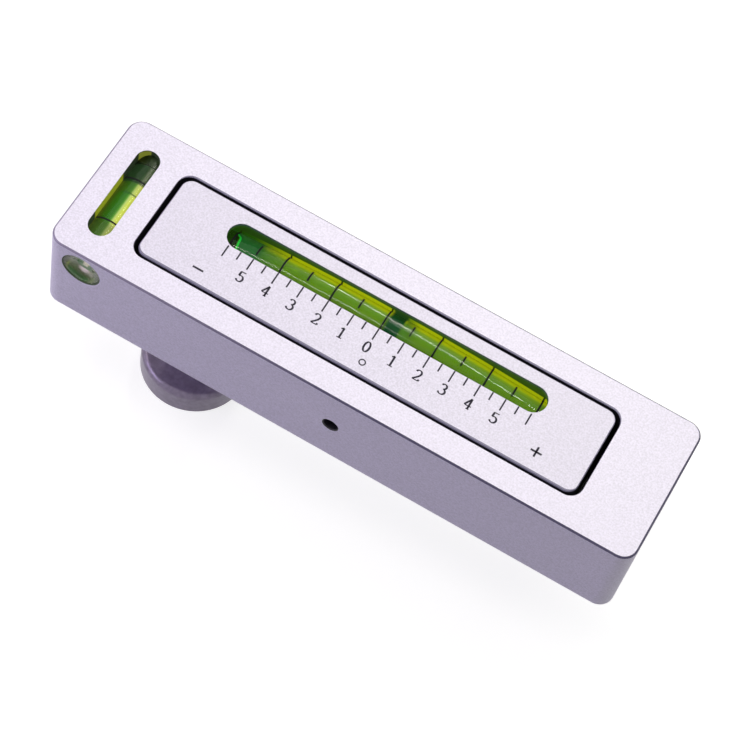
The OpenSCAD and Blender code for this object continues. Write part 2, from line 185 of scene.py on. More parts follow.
def within_box(tree: Tree, place: Socket, low: Vector, high: Vector, corner: float = 0.0) -> Socket:
    """Tests whether a point lies in a box whose upright corners are round.

    With q = |p - middle| - half + corner, the point is inside where the level length of max(q, 0) is no more than
    the corner's radius, and its height is between the two faces.

    Args:
        tree: The node tree.
        place: The socket that gives the point, in metres.
        low: The box's lowest corner.
        high: The box's highest corner.
        corner: The radius of its upright corners.

    Returns:
        A socket that is 1 inside the box and 0 outside.
    """
    distance = add_node(tree, "VectorMath ABSOLUTE", add_node(tree, "VectorMath SUBTRACT", place, (low + high) / 2))
    past = add_node(tree, "VectorMath SUBTRACT", distance, (high - low) / 2 - Vector((corner, corner, 0.0)))
    level = add_node(tree, "VectorMath MULTIPLY", add_node(tree, "VectorMath MAXIMUM", past, (0, 0, 0)), (1, 1, 0))
    length = add_node(tree, "VectorMath LENGTH", level, out=1)
    level_in = add_node(tree, "Math LESS_THAN", length, corner + HAIR)
    height_in = add_node(tree, "Math LESS_THAN", add_node(tree, "SeparateXYZ", past, out=2), 0.0)
    return add_node(tree, "Math MULTIPLY", level_in, height_in)


# Finishes


@dataclass(frozen=True)
class Shade:
    """A place on a piece where painted shade and painted light change its colour, such as the dark walls of a
    narrow gap.

    Attributes:
        low: The lowest corner of the box that holds the place.
        high: Its highest corner.
        colour: The colour there, or colours by the place along X, as pairs of millimetres and colour code.
        glow: Painted light from the dye, given off as emission, as a share of the colour.
        corner: The radius of the box's upright corners.
        moved: Leaves only the crescent that the box covers and its copy, moved by this, doesn't.
        below: The centre and radius of an arc in the upright plane, under which the place has to lie too.
        lines: The first place, the pitch and the width of upright dark lines, which are painted reflections of
            marks in a wall.
        line_colour: The colour of those painted reflections.
    """

    low: Vector
    high: Vector
    colour: str | Stops
    glow: float = 0.0
    corner: float = 0.0
    moved: Vector | None = None
    below: tuple[Vector, float] | None = None
    lines: tuple[float, float, float] | None = None
    line_colour: str = "#1E3006"

    def tint(self, tree: Tree, place: Socket) -> Socket | Colour:
        """The colour of the place.

        Args:
            tree: The node tree.
            place: The socket with the object's own coordinates.

        Returns:
            A colour, or the socket of one.
        """
        if isinstance(self.colour, str):
            return linear(self.colour)
        along = add_node(tree, "SeparateXYZ", place)
        colour = coloured(tree, along, self.colour, self.colour[0][0], self.colour[-1][0], MM)
        if not self.lines:
            return colour
        # Painted reflections of the marks: dark upright lines at each pitch.
        start, pitch, width = self.lines
        turns = add_node(tree, "Math DIVIDE", add_node(tree, "Math SUBTRACT", along, start - pitch / 2), pitch)
        past = add_node(tree, "Math SUBTRACT", add_node(tree, "Math FRACT", turns), 0.5)
        near = add_node(tree, "Math LESS_THAN", add_node(tree, "Math ABSOLUTE", past), width / pitch / 2)
        return painted_over(tree, colour, (near, linear(self.line_colour)))

    def share(self, tree: Tree, place: Socket) -> Socket:
        """A socket that is 1 at the place and 0 elsewhere.

        Args:
            tree: The node tree.
            place: The socket with the object's own coordinates.

        Returns:
            The socket.
        """
        share = within_box(tree, place, self.low, self.high, self.corner)
        if self.moved:
            copy = within_box(tree, place, self.low + self.moved, self.high + self.moved, self.corner)
            share = add_node(tree, "Math GREATER_THAN", add_node(tree, "Math SUBTRACT", share, copy), 0.5)
        if self.below:
            centre, radius = self.below
            arm = add_node(tree, "VectorMath SUBTRACT", place, centre)
            upright = add_node(tree, "VectorMath MULTIPLY", arm, (1, 0, 1))
            length = add_node(tree, "VectorMath LENGTH", upright, out=1)
            share = add_node(tree, "Math MULTIPLY", share, add_node(tree, "Math LESS_THAN", length, radius))
        return share


@dataclass(frozen=True)
class Finish:
    """What a piece is made of and how its surface was made.

    Attributes:
        name: The name of the two.
    """

    name: str

    def surface(self, tree: Tree) -> Socket:
        """Puts the nodes of the surface into a tree. Each kind of finish has its own.

        Args:
            tree: The material's node tree.

        Returns:
            The shader's socket.
        """
        raise NotImplementedError

    def build(self) -> Material:
        """Makes the material.

        Returns:
            The material.
        """
        material = bpy.data.materials.new(self.name)
        material.use_nodes = True
        tree = material.node_tree
        tree.nodes.clear()
        add_node(tree, "OutputMaterial", self.surface(tree))
        return material


@dataclass(frozen=True)
class Grained(Finish):
    """A surface with a base colour, a fine mottling and a fine relief.

    Attributes:
        colour: The sRGB colour.
        metallic: The share of light that it mirrors as a metal does.
        roughness: The mean roughness.
        grain_mm: The distance between grains. A pixel covers about 0.2 mm, so finer grains are drawn coarser.
        mottle: How far the colour changes from grain to grain, as a share.
        relief_mm: The height of the grains.
        gloss: The strength of its mirroring where it isn't metallic, as the shader's level.
        grain_range: The noise values between which the colour and the relief change.
        uneven: How far the roughness changes from grain to grain, as a share.
    """

    colour: str
    metallic: float = 0.0
    roughness: float = 0.5
    grain_mm: float = 0.5
    mottle: float = 0.05
    relief_mm: float = 0.01
    gloss: float = 0.5
    grain_range: tuple[float, float] = (0.3, 0.7)
    uneven: float = 0.1

    def tint(self, tree: Tree, place: Socket) -> tuple[Socket, Socket]:
        """The colour at a place: the base colour, a little darker or lighter from grain to grain.

        Args:
            tree: The node tree.
            place: The socket with the object's own coordinates.

        Returns:
            The colour socket and the socket of the grain's height.
        """
        scale = 1 / (self.grain_mm * MM)
        grain = add_node(tree, "TexNoise", named={"Vector": place, "Scale": scale, "Detail": 2.0})
        *base, alpha = linear(self.colour)
        dark, light = [(*(c * (1 + side * self.mottle) for c in base), alpha) for side in (-1, 1)]
        return painted_over(tree, dark, (add_node(tree, "MapRange", grain, *self.grain_range), light)), grain

    def light(self, tree: Tree, place: Socket) -> Socket | Colour:
        """Painted light from the dye nearby, given off as emission: none on most pieces."""
        return BLACK

    def surface(self, tree: Tree) -> Socket:
        """An opaque surface, whose patterns follow the object's own coordinates.

        Args:
            tree: The material's node tree.

        Returns:
            The shader's socket.
        """
        place = add_node(tree, "TexCoord", out="Object")
        colour, height = self.tint(tree, place)
        low, high = self.roughness * (1 - self.uneven), self.roughness * (1 + self.uneven)
        roughness = add_node(tree, "MapRange", height, named={3: low, 4: high})
        bump = add_node(tree, "Bump", named={"Height": height, "Distance": self.relief_mm * MM, "Strength": 1.0})
        return add_node(tree, "BsdfPrincipled", named={
            "Base Color": colour, "Metallic": self.metallic, "Roughness": roughness, "Normal": bump,
            "Specular IOR Level": self.gloss, "Emission Color": self.light(tree, place), "Emission Strength": 1.0})


@dataclass(frozen=True)
class BlastedAluminium(Grained):
    """Bead-blasted, clear-anodised aluminium, with chamfers that are cut after blasting and get painted shade for
    the dark that they mirror.

    Attributes:
        edge: The painted shade of the upper chamfers.
        edge_start: That painted shade at the negative end, lighter, from which it fades to the other.
        edge_fade: The places along X between which it fades.
        edge_z: The height above which a chamfer is an upper one.
        edge_band: How far a chamfer's upward share may be from that of 45 degrees.
        shades: The painted shade and painted light on the walls of gaps and cut-outs.
    """

    edge: str = "#4A4560"
    edge_start: str = "#8A8298"
    edge_fade: tuple[float, float] = (-68 * MM, 0.0)
    edge_z: float = 0.0
    edge_band: float = 0.02
    shades: tuple[Shade, ...] = ()

    def tint(self, tree: Tree, place: Socket) -> tuple[Socket, Socket]:
        """The colour at a place, with painted shade on chamfers that face up at 45 degrees, and painted shade and
        light in gaps.

        Args:
            tree: The node tree.
            place: The socket with the object's own coordinates.

        Returns:
            The colour socket and the socket of the grain's height.
        """
        colour, height = super().tint(tree, place)
        facing = add_node(tree, "SeparateXYZ", add_node(tree, "NewGeometry", out="True Normal"), out=2)
        chamfer = add_node(tree, "Math COMPARE", facing, math.sqrt(0.5), self.edge_band)
        upper = add_node(tree, "Math GREATER_THAN", add_node(tree, "SeparateXYZ", place, out=2), self.edge_z)
        # The chamfers' painted shade is lighter towards the negative end.
        fade = add_node(tree, "MapRange", add_node(tree, "SeparateXYZ", place), *self.edge_fade)
        edge = painted_over(tree, linear(self.edge_start), (fade, linear(self.edge)))
        layers = [(add_node(tree, "Math MULTIPLY", chamfer, upper), edge)]
        layers += [(shade.share(tree, place), shade.tint(tree, place)) for shade in self.shades]
        return painted_over(tree, colour, *layers), height

    def light(self, tree: Tree, place: Socket) -> Socket | Colour:
        """Painted light from the dye, given off as emission, where a shade says so.

        Args:
            tree: The node tree.
            place: The socket with the object's own coordinates.

        Returns:
            The colour socket, or black where no light shines.
        """
        light = BLACK
        for shade in self.shades:
            if shade.glow or light is not BLACK:
                dimmed = painted_over(tree, BLACK, (shade.glow, shade.tint(tree, place)))
                light = painted_over(tree, light, (shade.share(tree, place), dimmed))
        return light


@dataclass(frozen=True)
class TurnedSteel(Grained):
    """Turned steel: level rings from the tool round the upright axis.

    Attributes:
        ring_mm: The tool's feed. Real ones are 0.1 mm and finer, and this is as fine as shows.
    """

    ring_mm: float = 0.491

    def tint(self, tree: Tree, place: Socket) -> tuple[Socket, Socket]:
        """The colour at a place, with the tool's rings in the height.

        A wave texture has 20 radians in each unit of its scaled place, so a ring needs a scale of 2 pi / 20 / feed.

        Args:
            tree: The node tree.
            place: The socket with the object's own coordinates.

        Returns:
            The colour socket and the socket of the surface's height.
        """
        colour, height = super().tint(tree, place)
        scale = 2 * math.pi / 20 / (self.ring_mm * MM)
        rings = add_node(tree, "TexWave", named={"Vector": place, "Scale": scale}, out=1, bands_direction="Z")
        return colour, add_node(tree, "Math MULTIPLY", add_node(tree, "Math ADD", height, rings), 0.5)


@dataclass(frozen=True)
class WettedBore(Finish):
    """A bore that fluid wets, so that nothing bends or shines."""

    def surface(self, tree: Tree) -> Socket:
        """A surface that light goes straight through."""
        return add_node(tree, "BsdfTransparent", WHITE)


@dataclass(frozen=True)
class ClearGlass(Finish):
    """Clear glass or acrylic with a wetted bore. Lamps shine straight through it.

    Attributes:
        colour: What it lets through.
        ior: Its index of refraction.
        roughness: The roughness of its polish.
        sheen: How much it mirrors, as a share of what bare glass does. A bloomed surface mirrors less.
    """

    colour: str
    ior: float
    roughness: float
    sheen: float = 0.35

    def surface(self, tree: Tree) -> Socket:
        """Glass, which is only a tint for the rays that ask for shadow.

        Args:
            tree: The material's node tree.

        Returns:
            The shader's socket.
        """
        glass = add_node(tree, "BsdfPrincipled", named={
            "Base Color": linear(self.colour), "Roughness": self.roughness, "IOR": self.ior,
            "Transmission Weight": 1.0, "Specular Tint": (self.sheen, self.sheen, self.sheen, 1.0)})
        clear = add_node(tree, "BsdfTransparent", linear(self.colour))
        return add_node(tree, "MixShader", add_node(tree, "LightPath", out="Is Shadow Ray"), glass, clear)

    def with_bore(self) -> list[Material]:
        """The materials of the outer surface and of the wetted bore."""
        return [self.build(), WettedBore(self.name + "_wetted_bore").build()]


@dataclass(frozen=True)
class LitFluid(Finish):
    """A surface of dyed fluid, or of air in it, that glows with painted light: what it gives off and what it
    scatters add up to its colour.

    Attributes:
        glow: The share of its colour that it gives off as painted light, so that the shadow in its slot doesn't
            dull it.
    """

    glow: float = field(default=0.6, kw_only=True)

    def seen(self, tree: Tree) -> Socket:
        """The colour as seen. Each kind of fluid has its own.

        Args:
            tree: The material's node tree.

        Returns:
            The colour's socket.
        """
        raise NotImplementedError

    def surface(self, tree: Tree) -> Socket:
        """A matt surface that glows a little with painted light.

        Args:
            tree: The material's node tree.

        Returns:
            The shader's socket.
        """
        colour = self.seen(tree)
        return add_node(tree, "BsdfPrincipled", named={
            "Base Color": painted_over(tree, colour, (self.glow, BLACK)), "Roughness": 0.9,
            "Specular IOR Level": 0.0, "Emission Color": colour, "Emission Strength": self.glow})


@dataclass(frozen=True)
class DyedSpiritPaintedLight(LitFluid):
    """Fluorescent yellow-green spirit, whose colours round the tube are painted light and shade, as light would
    gather in it.

    Attributes:
        around: Painted light and shade by the angle round the tube, as pairs of degrees and colour code. The angle
            is 0 at the crown.
        reach: Half of the length that the painted shades are measured over, in millimetres.
        painted_shades: Stretches of painted shade along the tube, as pairs of a colour code and its weights by the
            place in millimetres.
        pool: A painted pool of light from the window: its middle turn and half its width in degrees, then its
            middle place and half its length in millimetres.
        pool_colour: The colour of that painted light.
        pool_fade: The distances from its middle, squared and as a share, between which it fades in.
    """

    around: Stops
    reach: float = 50.0
    painted_shades: tuple[tuple[str, Stops], ...] = ()
    pool: tuple[float, float, float, float] | None = None
    pool_colour: str = "#F6DAF2"
    pool_fade: tuple[float, float] = (1.0, 0.3)

    def seen(self, tree: Tree) -> Socket:
        """The colour by the mesh's attributes "turn", in degrees, and "along", in millimetres.

        Args:
            tree: The material's node tree.

        Returns:
            The colour's socket.
        """
        turn, along = [add_node(tree, "Attribute", out="Fac", attribute_name=name) for name in ("turn", "along")]
        colour = coloured(tree, turn, self.around, -180.0, 180.0)
        # Painted shade along the tube.
        for code, places in self.painted_shades:
            weight = coloured(tree, along, places, -self.reach, self.reach)
            colour = painted_over(tree, colour, (weight, linear(code)))
        # A painted pool of light.
        if self.pool:
            squares = []
            for value, middle, half in ((turn, *self.pool[:2]), (along, *self.pool[2:])):
                out = add_node(tree, "Math DIVIDE", add_node(tree, "Math SUBTRACT", value, middle), half)
                squares.append(add_node(tree, "Math MULTIPLY", out, out))
            weight = add_node(tree, "MapRange", add_node(tree, "Math ADD", *squares), *self.pool_fade)
            colour = painted_over(tree, colour, (weight, linear(self.pool_colour)))
        return colour


@dataclass(frozen=True)
class ChamberEnd(LitFluid):
    """The flat end of a chamber, seen through the dished front, with a painted upright streak where the dye's light
    gathers.

    Attributes:
        across: Colours by the place across it, as pairs of millimetres and colour code.
        middle: The middle of the end.
        plain: The colour below the streak.
        streak_from: The heights from the middle, in millimetres, between which the streak fades in.
        slant: How far the streak leans to the positive end for each unit of height.
    """

    across: Stops
    middle: Vector
    plain: str = "#2A5A22"
    streak_from: tuple[float, float] = (-1.2, -0.5)
    slant: float = 0.25

    def seen(self, tree: Tree) -> Socket:
        """The colour by the place across the end, less the slant times the height.

        Args:
            tree: The material's node tree.

        Returns:
            The colour's socket.
        """
        arm = add_node(tree, "VectorMath SUBTRACT", add_node(tree, "TexCoord", out="Object"), self.middle)
        across = add_node(tree, "VectorMath DOT_PRODUCT", arm, (1.0, 0.0, -self.slant), out=1)
        colour = coloured(tree, across, self.across, self.across[0][0], self.across[-1][0], MM)
        height = add_node(tree, "SeparateXYZ", arm, out=2)
        upper = add_node(tree, "MapRange", height, *(at * MM for at in self.streak_from))
        return painted_over(tree, linear(self.plain), (upper, colour))


@dataclass(frozen=True)
class AirBubble(LitFluid):
    """An air bubble under glass, in painted light and shade: a bright curved rim, a black line inside it, and dark
    green within.

    Attributes:
        rim: Painted light and shade by the distance from the bubble's edge, as pairs of millimetres and colour
            code.
    """

    rim: Stops

    def seen(self, tree: Tree) -> Socket:
        """The colour by the mesh's attribute "edge", in millimetres.

        Args:
            tree: The material's node tree.

        Returns:
            The colour's socket.
        """
        edge = add_node(tree, "Attribute", out="Fac", attribute_name="edge")
        return coloured(tree, edge, self.rim, self.rim[0][0], self.rim[-1][0])


# Meshes


@dataclass
class Skin:
    """A surface as arrays.

    Attributes:
        points: Its points, as rows of three.
        faces: Its faces, each a list of point numbers.
        values: Named values for its points.
        stuffs: The number of each face's material.
    """

    points: np.ndarray
    faces: list[list[int]]
    values: dict[str, np.ndarray] = field(default_factory=dict)
    stuffs: np.ndarray | None = None

    def volume(self) -> float:
        """The enclosed volume: a sixth of the sum of a . (b x c) over triangles.

        Returns:
            The volume, below zero if the skin is inside out.
        """
        triangles = np.array([[f[0], f[i], f[i + 1]] for f in self.faces for i in range(1, len(f) - 1)])
        a, b, c = (self.points[triangles[:, i]] for i in range(3))
        return float(np.einsum("ij,ij->i", a, np.cross(b, c)).sum() / 6)

    def outward(self) -> "Skin":
        """Turns the faces to point outwards.

        Returns:
            The same skin.
        """
        if self.volume() < 0:
            self.faces = [face[::-1] for face in self.faces]
        return self


def carried(rings: np.ndarray, ends: Ends = Ends.CAPPED, **values: np.ndarray) -> Skin:
    """Carries a closed profile along a path, and joins each ring of points to the next with four-sided faces.

    Args:
        rings: rings[i, j] is corner j of the profile at step i of the path.
        ends: Whether the two ends are capped by a fan about their middle, or joined to each other.
        values: Named values, one for each point of the rings.

    Returns:
        The closed skin, facing outwards.
    """
    steps, corners, _ = rings.shape
    index = np.arange(steps * corners).reshape(steps, corners)
    here, there = (index, np.roll(index, -1, 0)) if ends is Ends.JOINED else (index[:-1], index[1:])
    faces = np.stack([here, np.roll(here, -1, 1), np.roll(there, -1, 1), there], -1).reshape(-1, 4).tolist()
    points = rings.reshape(-1, 3)
    values = {name: np.broadcast_to(value, (steps, corners)).reshape(-1) for name, value in values.items()}
    if ends is Ends.CAPPED:
        for ring, step in ((index[0], -1), (index[-1], 1)):
            middle = np.full(corners, len(points))
            faces += np.stack([middle, ring, np.roll(ring, -1)], -1)[:, ::step].tolist()
            points = np.vstack([points, points[ring].mean(0)])
            values = {name: np.append(value, value[ring].mean()) for name, value in values.items()}
    return Skin(points, faces, values).outward()


def gathered(skins: list[Skin]) -> Skin:
    """Puts several skins without values into one, side by side.

    Args:
        skins: The skins.

    Returns:
        One skin with all their points and faces.
    """
    starts = np.cumsum([0] + [len(skin.points) for skin in skins[:-1]])
    faces = [[int(start) + i for i in face] for start, skin in zip(starts, skins) for face in skin.faces]
    return Skin(np.vstack([skin.points for skin in skins]), faces)


def make_piece(name: str, skin: Skin, finishes: list[Material], body: Body,
               replaces: str | None = None) -> None:
    """Makes a piece, which sits at the origin, from a skin and lets it ride on a body.

    Args:
        name: The piece's name.
        skin: Its surface, in metres and in place.
        finishes: Its materials, by number.
        body: The body that it moves with.
        replaces: The node that it stands for.
    """
    mesh = bpy.data.meshes.new(name)
    mesh.from_pydata(skin.points.tolist(), [], skin.faces)
    for key, value in skin.values.items():
        mesh.attributes.new(key, "FLOAT", "POINT").data.foreach_set("value", value.astype(np.float32))
    for finish in finishes:
        mesh.materials.append(finish)
    if skin.stuffs is not None:
        mesh.polygons.foreach_set("material_index", skin.stuffs.astype(np.int32))
    mesh.polygons.foreach_set("use_smooth", np.ones(len(mesh.polygons), bool))
    mesh.set_sharp_from_angle(angle=SHARP_EDGE)
    mesh.update()
    piece = bpy.data.objects.new(name, mesh)
    bpy.context.scene.collection.objects.link(piece)
    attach(piece, body.value)
    if replaces:
        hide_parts(replaces)
    log.info("%s: %d points, %d faces, on %s", name, len(mesh.vertices), len(mesh.polygons), body.value)


def joint_of(name: str) -> dict:
    """The frame's joint of that name."""
    return next(joint for joint in frame["joints"] if joint["name"] == name)


def spans(x: tuple[float, float], y: tuple[float, float], z: tuple[float, float]) -> tuple[Vector, Vector]:
    """The lowest and the highest corner of a box, from where it starts and ends along each axis."""
    return Vector((x[0], y[0], z[0])), Vector((x[1], y[1], z[1]))


# The vials


@dataclass
class Vial:
    """What both vials have. Both bubbles are thin shells, and all marks are thin bands of paint.

    A place on or in a vial has three coordinates: the place along it, the turn round it, which is 0 at the crown,
    and the distance from its middle line.
    """

    ink: Material
    glass: ClearGlass
    dye: DyedSpiritPaintedLight
    air: LitFluid
    fluid_gap: float
    air_thickness: float
    bubble_spread: float
    bluntness: int
    air_gap: float = 0.03 * MM
    rounding: float = 0.1 * MM
    mark_width: float = 0.42 * MM
    paint: float = 0.03 * MM
    paint_lift: float = 0.006 * MM
    outer_r: float = 0.0

    def points(self, place: np.ndarray, turn: np.ndarray, distance: np.ndarray) -> np.ndarray:
        """Places in metres, from the three coordinates. Each vial has its own."""
        raise NotImplementedError

    def rod(self, place: np.ndarray, distance: np.ndarray, along: np.ndarray) -> Skin:
        """A rod of fluid, turned about the middle line, with its ends rounded off a little.

        Args:
            place: The places along the vial.
            distance: The rod's radius at each.
            along: The same places as lengths, in metres.

        Returns:
            The skin, with the turn in degrees and the place in millimetres as values.
        """
        distance = distance.copy()
        distance[[0, -1]] -= self.rounding
        rings = self.points(place[:, None], ROUND[None, :], distance[:, None])
        return carried(rings, turn=np.degrees(ROUND), along=along[:, None] / MM)

    def shell(self, outside: float) -> tuple[np.ndarray, np.ndarray, np.ndarray, np.ndarray]:
        """The grid of a bubble: a thin shell under the crown, whose outline is a blunt oval.

        At a share s of its half length its half width is the full one times the root of 1 - |s| to the bluntness.
        It stops just short of its tips, so that no ring shrinks to a point.

        Args:
            outside: The distance of its outside from the middle line.

        Returns:
            The shares along it, the half widths there, the turns and the distances.
        """
        steps, corners, tip = 48, 33, 0.9995
        share = np.sin(np.linspace(-1, 1, steps) * math.pi / 2)[:, None] * tip
        half = math.radians(self.bubble_spread) * np.sqrt(1 - np.abs(share) ** self.bluntness)
        spread = np.linspace(-1, 1, corners)
        turn = half * np.concatenate([spread, spread[::-1]])[None, :]
        return share, half, turn, np.repeat([outside, outside - self.air_thickness], corners)[None, :]

    def band(self) -> tuple[np.ndarray, np.ndarray]:
        """The section of a painted mark: four places along, from its middle, and their distances."""
        along = self.mark_width / 2 * np.array([[-1, 1, 1, -1]])
        return along, self.outer_r + self.paint_lift + self.paint * np.array([[0, 0, 1, 1]])


@dataclass
class CamberVial(Vial):
    """The bent glass tube in the scale block, with its spirit, its bubble and the marks painted on it.

    The tube's middle line is an arc in an upright plane. The place along it is the angle from mid-length, and the
    turn grows to the front.
    """

    fluid_gap: float = 0.12 * MM
    air_thickness: float = 0.06 * MM
    bubble_spread: float = 66.0
    bluntness: int = 3
    bubble_length: float = 8.6 * MM
    rim_from: float = 0.6
    rim_fade: float = 12.0
    rim_lean: tuple[float, float] = (0.5, 0.3)
    pitch: float = 6.16 * MM
    zero_x: float = -0.05 * MM
    long_marks: tuple[int, ...] = (-6, -4, -2, 0, 2, 4, 6)
    long_turns: tuple[float, float] = (78.0, -84.0)
    short_marks: tuple[int, ...] = (-5, -3, -1, 1, 3, 5)
    short_turns: tuple[float, float] = (12.0, -31.0)

    def __post_init__(self) -> None:
        """Takes the arc, the radii and the ends from the frame."""
        low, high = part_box("camber_tube")
        joint = joint_of("camber_bubble_travel")
        self.centre = Vector(joint["pos_m"])
        self.outer_r = (high.y - low.y) / 2
        fluid_low, fluid_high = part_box("camber_fluid")
        self.inner_r = (fluid_high.y - fluid_low.y) / 2
        self.arc_r = high.z - self.centre.z - self.outer_r
        self.end = math.asin(high.x / (self.arc_r + self.outer_r))
        self.fluid_end = math.asin(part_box("camber_stopper_right")[0].x / (self.arc_r - self.inner_r))
        self.bubble_rest = -math.radians(joint["range_deg"][1]) / 2

    def build(self) -> None:
        """Makes the vial's pieces."""
        self.tube()
        self.spirit()
        self.bubble()
        self.marks()

    def points(self, place: np.ndarray, turn: np.ndarray, distance: np.ndarray) -> np.ndarray:
        """Places in metres: the section's point is turned about the arc's centre by the angle.

        Args:
            place: The angle along the arc, in radians.
            turn: The turn round the tube, in radians.
            distance: The distance from the middle line, in metres.

        Returns:
            The places, in a last axis of three.
        """
        radius = self.arc_r + distance * np.cos(turn)
        across = self.centre.y - distance * np.sin(turn)
        return np.stack([radius * np.sin(place), across, self.centre.z + radius * np.cos(place)], -1)

    def tube(self) -> None:
        """The glass tube: rings go along the outside, back along the bore and close on themselves."""
        steps = 120
        angles = np.linspace(-self.end, self.end, steps)
        there_and_back = np.concatenate([angles, angles[::-1]])[:, None]
        distance = np.repeat([self.outer_r, self.inner_r], steps)[:, None]
        skin = carried(self.points(there_and_back, ROUND[None, :], distance), Ends.JOINED)
        ring = np.arange(2 * steps).repeat(len(ROUND))
        skin.stuffs = (ring >= steps) & (ring < 2 * steps - 1)
        make_piece("camber_glass", skin, self.glass.with_bore(), Body.SCALE, "camber_tube")

    def spirit(self) -> None:
        """The spirit: a rod that fills the bore."""
        steps = 160
        angles = np.linspace(-self.fluid_end, self.fluid_end, steps)
        skin = self.rod(angles, np.full(steps, self.inner_r - self.fluid_gap), self.arc_r * np.sin(angles))
        make_piece("camber_spirit", skin, [self.dye.build()], Body.SCALE, "camber_fluid")

    def bubble(self) -> None:
        """The bubble, a long oval whose painted bright rim shows only round the positive end.

        Its colour goes by the distance from the edge. Before a share of its half length that distance grows, so
        that no rim shows, and towards the back it is a little less, where the meniscus leans away.
        """
        outside = self.inner_r - self.air_gap
        share, half, turn, distance = self.shell(outside)
        angle = self.bubble_rest + share * (self.bubble_length / 2 / (self.arc_r + outside))
        sideways = (half - np.abs(turn)) * outside
        endways = (1 - np.abs(share)) * self.bubble_length / 2
        lean, level = self.rim_lean
        edge = np.minimum(sideways, endways) / MM + self.rim_fade * np.clip(self.rim_from - share, 0, None)
        skin = carried(self.points(angle, turn, distance), edge=edge - lean * (level - np.sin(turn)))
        make_piece("camber_air_bubble", skin, [self.air.build()], Body.CAMBER_AIR, "camber_bubble")

    def mark(self, degree: float, front: float, back: float) -> Skin:
        """One painted line round the tube: a thin rectangle carried from the front turn to the back one.

        Args:
            degree: The camber that it marks.
            front: The turn at its front end, in degrees.
            back: The turn at its back end, in degrees.

        Returns:
            The skin of the line.
        """
        along, distance = self.band()
        middle = math.asin((self.zero_x + degree * self.pitch) / self.arc_r)
        turn = np.radians(np.linspace(front, back, 48))[:, None]
        return carried(self.points(middle + along / self.arc_r, turn, distance))

    def marks(self) -> None:
        """The painted marks: long ones at even degrees and short ones at odd degrees."""
        skins = [self.mark(degree, *self.long_turns) for degree in self.long_marks]
        skins += [self.mark(degree, *self.short_turns) for degree in self.short_marks]
        make_piece("camber_tube_marks", gathered(skins), [self.ink], Body.SCALE)


